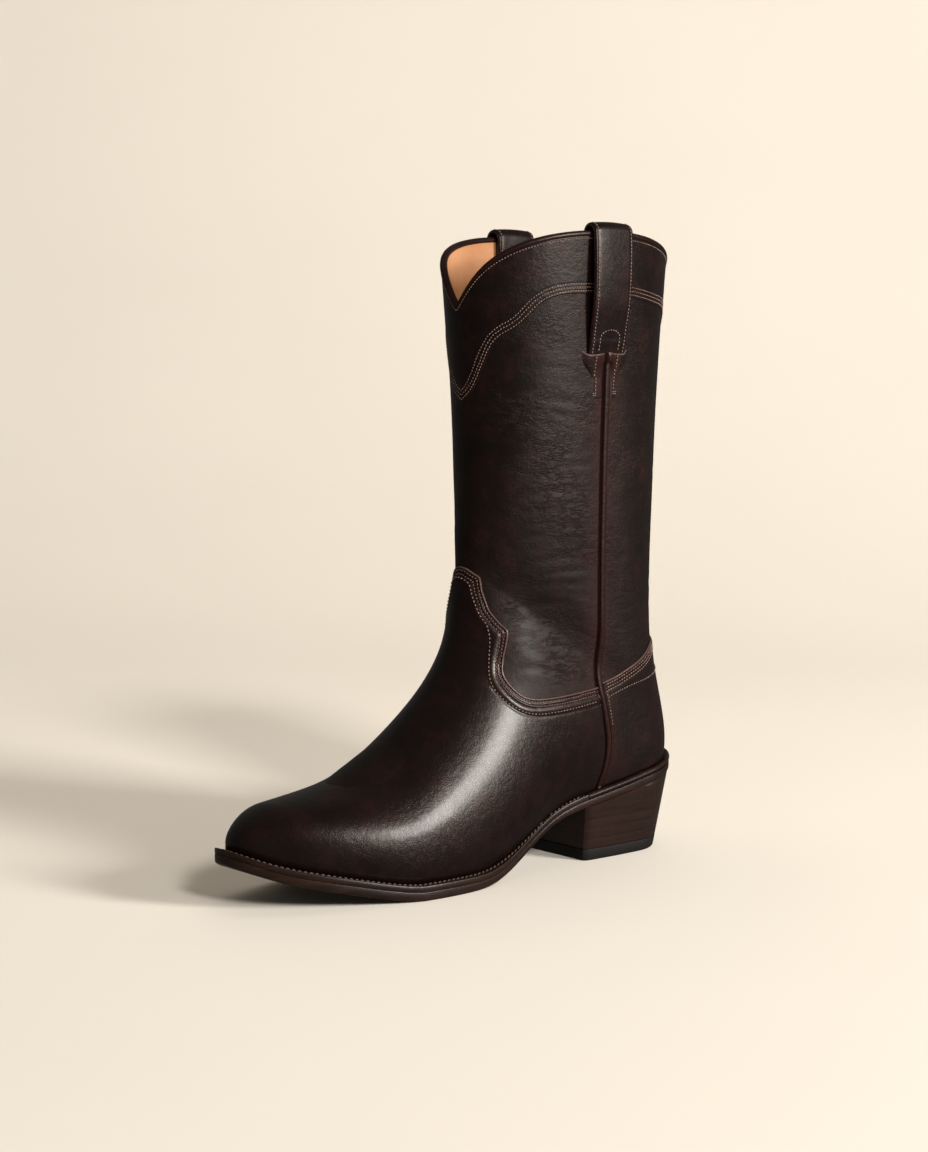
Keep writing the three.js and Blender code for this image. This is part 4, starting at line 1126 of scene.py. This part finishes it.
def heel_ring(level, ceiling_share=None, inset=0.0):
    top = heel_ceiling
    height = np.minimum(level, top) if ceiling_share is None else mix(level, top, ceiling_share)
    share = np.clip(height / top, 0, 1)
    step = mix(heel_step, -breast_step, np.clip((side_along - back_line) / (breast_line - back_line), 0, 1))
    halves = []
    for sign in (1, -1):
        seat_x = at_edge(np.mod(sign * heel_side, 4), underside, heel_inset)[:, 0]
        halves.append(np.stack([seat_x * mix(heel_share, 1, share), -side_along - step * (1 - share), height], -1))
    outer, inner = halves
    corner, other = outer[-1], inner[-1]

    def breast(start, end, shares):
        return [mix(start, end, t) + np.array([0, 0.5 * np.sin(np.pi * t), 0]) for t in shares]
    across = breast(corner, other, (0.035, 0.12, 0.25, 0.38, 0.5))
    across_back = breast(other, corner, (0.38, 0.25, 0.12, 0.035))
    outer[-1] = mix(outer[-2], corner, 0.62) + (across[0] - corner) * 0.3
    inner[-1] = mix(inner[-2], other, 0.62) + (across_back[-1] - other) * 0.3
    ring = np.concatenate([outer, across, across_back, inner[:0:-1]])
    away = ring[:, :2] - centre
    ring[:, :2] -= away / np.linalg.norm(away, axis=1, keepdims=True) * inset
    return ring


stack_rings = [heel_ring(lift_top + 0.05, None, 0.45), heel_ring(lift_top + 0.3, None, 0.05)]
for i in range(3):
    seam = lift_top + lift_thick * (i + 1)
    stack_rings += [heel_ring(seam - 2.9), heel_ring(seam - 0.2, None, 0.01), heel_ring(seam, None, 0.05),
                    heel_ring(seam + 0.2, None, 0.01)]
stack_rings += [heel_ring(lift_top + 3 * lift_thick + 0.3, t, 0.0) for t in (0.15, 0.4, 0.65, 0.85, 0.97)]
stack_rings += [heel_ring(lift_top + 3 * lift_thick + 0.3, 1.0, 0.35)]
stack_rings = np.array(stack_rings)
heel_stack = piece("heel_stack", stack_rings, capped(stack_rings), stack_finish,
                   ("heel_lift_1", "heel_lift_2", "heel_lift_3", "heel_base"), {}, 40)
lift_section = [(0.0, 0.9), (0.22, 0.35), (0.7, 0.05), (3.5, 0.0), (6.4, 0.02), (6.75, 0.2), (6.9, 0.5)]
lift_rings = np.array([heel_ring(level, None, inset) for level, inset in lift_section])
piece("heel_top_lift", lift_rings, capped(lift_rings), rubber_finish, ("heel_top_lift",), {}, 40)

# %% [markdown]
# ### Insole and filler
# The insole closes the bottom of the leg, and cork fills the hollow between it and the outsole. Their
# solids already have the right shape, so they stay and only get a finish.

# %% Finishes for the solids that stay
for name, finish in (("insole", lining_finish), ("filler", cork_finish)):
    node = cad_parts[name]
    node.data.materials.clear()
    node.data.materials.append(finish)
print("solids kept:", [name for name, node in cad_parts.items() if not node.hide_render])

# %% [markdown]
# ## The stitches
# Stitches are modelled one by one. Each is a short bead of thread that rises out of one hole and dips
# into the next, lying a little aslant. A row follows its line on the pattern, and a search for the
# nearest face seats every stitch on the leather's real surface, with its creases and folds.

# %% Sewing
stitch_along, stitch_size = np.array([-1.0, -0.72, 0.0, 0.72, 1.0]), np.array([0.35, 0.9, 1.0, 0.9, 0.35])
sides = np.linspace(0, 2 * np.pi, 6, endpoint=False)
stitch_faces = [[r * 6 + s, r * 6 + (s + 1) % 6, (r + 1) * 6 + (s + 1) % 6, (r + 1) * 6 + s]
                for r in range(4) for s in range(6)] + [list(range(5, -1, -1)), list(range(24, 30))]


def surface_of(*pieces_sewn):
    points, faces = [], []
    for sewn in pieces_sewn:
        faces += [[len(points) + i for i in face.vertices] for face in sewn.data.polygons if len(face.vertices) < 5]
        points += [v.co for v in sewn.data.vertices]
    return BVHTree.FromPolygons(points, faces)


def sew(name, surface, lines, pitch, thick, finish, slant=0.12, fill=0.62):
    points, faces = [], []
    for line in lines:
        line = np.asarray(line, float)
        run = np.concatenate([[0], np.cumsum(np.linalg.norm(np.diff(line, axis=0), axis=1))])
        count = max(1, int(round(run[-1] / pitch)))
        middles = (np.arange(count) + 0.5) * run[-1] / count
        half = run[-1] / count * fill / 2
        spot, ahead, behind = (np.stack([np.interp(middles + d, run, line[:, i]) for i in range(3)], -1)
                               for d in (0.0, 0.4, -0.4))
        for p, direction in zip((spot + shift) / 1000, unit(ahead - behind)):
            found, normal = surface.find_nearest(Vector(p), 0.006)[:2]
            if found is None:
                continue
            normal, found = np.array(normal), np.array(found) * 1000 - shift
            if normal @ (p * 1000 - shift - found) < -0.5:
                normal = -normal
            aside = unit(np.cross(normal, direction))
            along = unit(np.cross(aside, normal) + slant * aside)
            aside = np.cross(normal, along)
            x = stitch_along[:, None, None] * half * along
            bow = (1 - stitch_along ** 2)[:, None, None] * 0.55 * thick * normal
            ring = (np.cos(sides)[None, :, None] * aside + 0.8 * np.sin(sides)[None, :, None] * normal)
            body = found + x + bow + ring * (stitch_size * thick / 2)[:, None, None]
            faces += [[len(points) + i for i in face] for face in stitch_faces]
            points += body.reshape(-1, 3).tolist()
    mesh = bpy.data.meshes.new(name)
    mesh.from_pydata(((np.array(points) + shift) / 1000).tolist(), [], faces)
    mesh.shade_smooth()
    made = bpy.data.objects.new(name, mesh)
    bpy.context.scene.collection.objects.link(made)
    mesh.materials.append(finish)
    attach(made, "root")
    root_pieces.append(made)
    print(f"{name}: {len(faces) // 26} stitches")
    return made


def parallel_places(grid, at):
    """The line of a laid-on piece that keeps a distance from its edge, as one point per column."""
    panel, rise, distance = grid
    first = np.argmax(distance >= at, axis=1)
    columns_of = np.arange(len(panel))
    before = np.maximum(first - 1, 0)
    d0, d1 = distance[columns_of, before], distance[columns_of, first]
    t = np.clip((at - d0) / np.maximum(d1 - d0, 1e-6), 0, 1)
    return np.stack([mix(g[columns_of, before], g[columns_of, first], t) for g in (panel, rise)], -1)


def parallel(grid, at, ends=0.0):
    line = parallel_places(grid, at)
    spots = place(line[:, 0], line[:, 1])
    if ends:
        keep = (np.linalg.norm(spots - spots[0], axis=1) > ends) & (np.linalg.norm(spots - spots[-1], axis=1) > ends)
        spots, line = spots[keep], line[keep]
    return skin(line[:, 0], line[:, 1], np.full(len(line), 1.4))


def turned(turns, rises):
    """Pattern places given by their turn round the boot in degrees instead of by panel."""
    turns, rises = np.radians(turns), np.asarray(rises, float)
    seam = seam_turn(rises)
    panels = np.where(turns < seam, turns / seam, 1 + (turns - seam) / (np.pi - seam))
    return np.stack([panels, rises], -1)


def both_sides(line):
    """A line on the outer side, given from the back to the ridge, and its mirror image."""
    soft = rounded(line, 1.5)
    whole = np.concatenate([soft, np.stack([4 - soft[-2::-1, 0], soft[-2::-1, 1]], -1)])
    return skin(whole[:, 0], whole[:, 1], np.full(len(whole), 1.4))


# %% [markdown]
# ### Rows on the foot
# The foot has the closest stitching: two rows beside the vamp's edge and one apart from them, three rows
# over the counter, and one down its front edge beside the rib.

# %% Foot stitches
third_turns = [78.5, 100, 113.5, 130, 141.5, 148.6]
third_rises = [0.390, 0.387, 0.393, 0.427, 0.467, 0.520]
tongue = parallel_places(vamp_grid, 6.3)
tongue = tongue[(tongue[:, 0] > 1.70) & (tongue[:, 0] < 2.0)]
side_row = turned(third_turns, third_rises)
curl = spline(np.arange(6), side_row[:, 0]), spline(np.arange(6), side_row[:, 1])
third_row = np.concatenate([np.stack([part(np.linspace(0, 5, 50)) for part in curl], -1), tongue])
vamp_surface, counter_surface = surface_of(vamp), surface_of(counter)
sew("vamp_stitches", vamp_surface, [parallel(vamp_grid, at, 1.2) for at in vamp_row_places],
    1.9, 0.62, dark_thread_finish)
sew("vamp_outer_stitches", vamp_surface, [both_sides(third_row)],
    2.3, 0.66, thread_finish, 0.12, 0.55)
low_turns, low_rises = [0.0, 15.3, 57.6, 72.0], [0.474, 0.467, 0.423, 0.394]
low_row = turned(low_turns, low_rises)
low_row = rounded(low_row[::-1], 2.0)[::-1]
low_row = np.concatenate([np.stack([-low_row[:0:-1, 0], low_row[:0:-1, 1]], -1), low_row])
front_rises = np.linspace(0.30, 0.415, 60)
front_panels = beside_seam(-5.9, front_rises)
front_rows = [skin(panels, front_rises, np.full(60, 1.4)) for panels in (front_panels, -front_panels)]
sew("counter_stitches", counter_surface,
    [parallel(counter_grid, at, 2.4) for at in counter_row_places]
    + [skin(low_row[:, 0], low_row[:, 1], np.full(len(low_row), 1.4))] + front_rows,
    1.9, 0.62, thread_finish)

# %% [markdown]
# ### Rows on the leg and the straps
# The yoke is held by three fine rows along its scalloped edge, and the binding by one row. Each strap is
# sewn along both edges and across its foot in an arch, and its cover is held by a row on either side of
# the seam, each ending in two short cross stitches.

# %% Leg stitches
yoke_surface = surface_of(yoke)
yoke_rows = [parallel(yoke_grid, at) for at in yoke_row_places]
yoke_rows = [np.concatenate([row, row[:1]]) for row in yoke_rows]
around = np.arange(0, 4.01, 0.02)
rim_row = skin(around, rise_below(np.mod(around, 4), 2.9), np.full(len(around), 0.5))
sew("yoke_stitches", yoke_surface, yoke_rows + [rim_row], 1.8, 0.5, thread_finish)


def strap_rows(outer, aside, below_steps):
    edge_rows = []
    for at in (-12.4, 12.4):
        j = int(np.searchsorted(aside, at)) - 1
        t = (at - aside[j]) / (aside[j + 1] - aside[j])
        edge_rows.append(mix(outer[3:-3, j], outer[3:-3, j + 1], t))
    across = np.concatenate([np.full(9, -7.9), -7.9 * np.cos(np.linspace(0, np.pi, 40)), np.full(9, 7.9)])
    arch = 57.8 - 4.2 * np.sin(np.linspace(0, np.pi, 40))
    belows = np.concatenate([np.linspace(65, 57.8, 9), arch, np.linspace(57.8, 65, 9)])
    arch = []
    for x, below in zip(across, belows):
        i, j = int(np.argmax(below_steps < below)) - 1, int(np.searchsorted(aside, x)) - 1
        ti = (below - below_steps[i]) / (below_steps[i + 1] - below_steps[i])
        tj = (x - aside[j]) / (aside[j + 1] - aside[j])
        arch.append(mix(mix(outer[i, j], outer[i + 1, j], ti), mix(outer[i, j + 1], outer[i + 1, j + 1], ti), tj))
    return edge_rows + [np.array(arch)]


for (strap, outer, aside, below_steps), name in zip(straps, ("outer", "inner")):
    sew(f"strap_stitches_{name}", surface_of(strap), strap_rows(outer, aside, below_steps), 2.0, 0.6,
        thread_finish)
cover_rows = []
for seam, side in ((1, 1), (3, -1)):
    below = np.linspace(67.6, 87.5, 30)
    for aside in (-cover_row_aside, cover_row_aside):
        panels = seam + side * aside / panel_run(seam, 0.85) + 0 * below
        cover_rows.append(skin(panels, rise_below(panels, below), np.full(30, 3.2)))
        tack = seam + side * (aside + np.linspace(-1.6, 1.6, 5)) / panel_run(seam, 0.85)
        cover_rows += [skin(tack, rise_below(tack, low), np.full(5, 1.4)) for low in (88.4, 89.6)]
sew("cover_stitches", surface_of(*covers), cover_rows, 2.0, 0.62, thread_finish)

# %% [markdown]
# ### The welt stitches
# The outsole is lock-stitched through the welt with thick waxed thread, a little over three millimetres
# a stitch. It shows as a row of short pale cords in the welt's channel.

# %% Welt stitches
seam_panels = welt_panels[3:-3]
open_width = edge_margin(-place(seam_panels, 0.0)[:, 1]) - upper_foot
welt_line = at_edge(seam_panels, lambda along: welt_foot(along) + welt_thick, lift=upper_foot + 0.25 * open_width)
sew("welt_stitches", surface_of(welt), [welt_line], 3.2, 1.0, welt_thread_finish, 0.3, 0.9)

# %% [markdown]
# ## The photographer's table
# The boot stands on a cream sheet that runs up behind it. The key lamp, behind the camera, lays the soft
# shadow on it. The side lamp, low on the right, is the one that shows in the leather, as the long
# highlight of the vamp. The wall lamp is aimed at the sheet behind. The sheet and the other two lamps are
# kept out of reflections, because the wide pale sheet turned the dark leather grey.

# %% Floor, backdrop, light and camera
def cream_sheet():
    f = Finish("cream_sheet")
    spot = f.place_mm()
    base = f.blend(f.noise(spot, 420, 2, 0.5), (0.82, 0.752, 0.66, 1), (0.86, 0.79, 0.695, 1))
    return f.surface(Base_Color=base, Roughness=0.9 + f.noise(spot, 3, 2, 0.5) * 0.05)


turn, tilt, distance = np.radians(49.5456), np.radians(5.2323), 1.28113
target = (np.array([-26.6437, -118.4656, 165.4662]) + shift) / 1000
behind = np.array([np.sin(turn) * np.cos(tilt), -np.cos(turn) * np.cos(tilt), np.sin(tilt)])
right = np.array([np.cos(turn), np.sin(turn), 0.0])
level_back = unit(np.array([behind[0], behind[1], 0.0]))

sweep = [(-3.0, 0.0), (0.9, 0.0)]
sweep += [(0.9 + 2.2 * np.sin(a), 2.2 - 2.2 * np.cos(a)) for a in np.radians(np.arange(4, 91, 4))] + [(3.1, 4.0)]
sheet_points = [tuple(-level_back * d + right * w + np.array([0, 0, z])) for w in (-4.0, 4.0) for d, z in sweep]
count = len(sweep)
sheet_faces = [[i, i + 1, count + i + 1, count + i] for i in range(count - 1)]
sheet_mesh = bpy.data.meshes.new("cream_sheet")
sheet_mesh.from_pydata(sheet_points, [], sheet_faces)
sheet_mesh.shade_smooth()
backdrop = bpy.data.objects.new("cream_sheet", sheet_mesh)
bpy.context.scene.collection.objects.link(backdrop)
sheet_mesh.materials.append(cream_sheet())
backdrop.visible_glossy = False


def lamp(name, bearing, height, away, size, watts, tint, aim=(0, 0, 0.16)):
    """A soft square lamp, placed by its bearing from the camera's back towards its right, in degrees."""
    side = np.radians(bearing)
    flat = level_back * np.cos(side) + right * np.sin(side)
    spot = Vector(flat * away * np.cos(np.radians(height)) + np.array([0, 0, away * np.sin(np.radians(height))]))
    light = bpy.data.lights.new(name, "AREA")
    light.shape, light.size, light.energy, light.color = "SQUARE", size, watts, tint
    made = bpy.data.objects.new(name, light)
    made.location = spot
    made.rotation_euler = (Vector(aim) - spot).to_track_quat("-Z", "Y").to_euler()
    bpy.context.scene.collection.objects.link(made)
    return made


key_lamp = lamp("key_lamp", 27, 31, 8.0, 1.35, 415, (1.0, 0.985, 0.95))
key_lamp.visible_glossy = False
side_lamp = lamp("side_lamp", 62, 21, 3.4, 0.85, 150, (1.0, 0.98, 0.94))

wall_lamp = lamp("wall_lamp", 180, 76, 1.9, 1.5, 8, (1.0, 0.95, 0.87),
                 -level_back * 2.4 + np.array([0, 0, 0.35]))
wall_lamp.visible_glossy = False

world = bpy.data.worlds.new("studio")
bpy.context.scene.world = world
world.use_nodes = True
world.node_tree.nodes["Background"].inputs["Color"].default_value = (1.0, 0.95, 0.87, 1)
world.node_tree.nodes["Background"].inputs["Strength"].default_value = 0.12

camera_data = bpy.data.cameras.new("camera")
camera_data.sensor_width, camera_data.lens = 36.0, 2200.8432 / 1152 * 36
camera = bpy.data.objects.new("camera", camera_data)
camera.location = target + behind * distance
camera.rotation_euler = Vector(behind).to_track_quat("Z", "Y").to_euler()
bpy.context.scene.collection.objects.link(camera)
bpy.context.scene.camera = camera
bpy.context.scene.view_settings.view_transform = "Standard"
print("camera at", [round(v, 3) for v in camera.location], "lens", round(camera_data.lens, 1))

# %% [markdown]
# ## Bring the scene up to date
# Looks never change the boot's size.

# %% Update the view layer
bpy.context.view_layer.update()
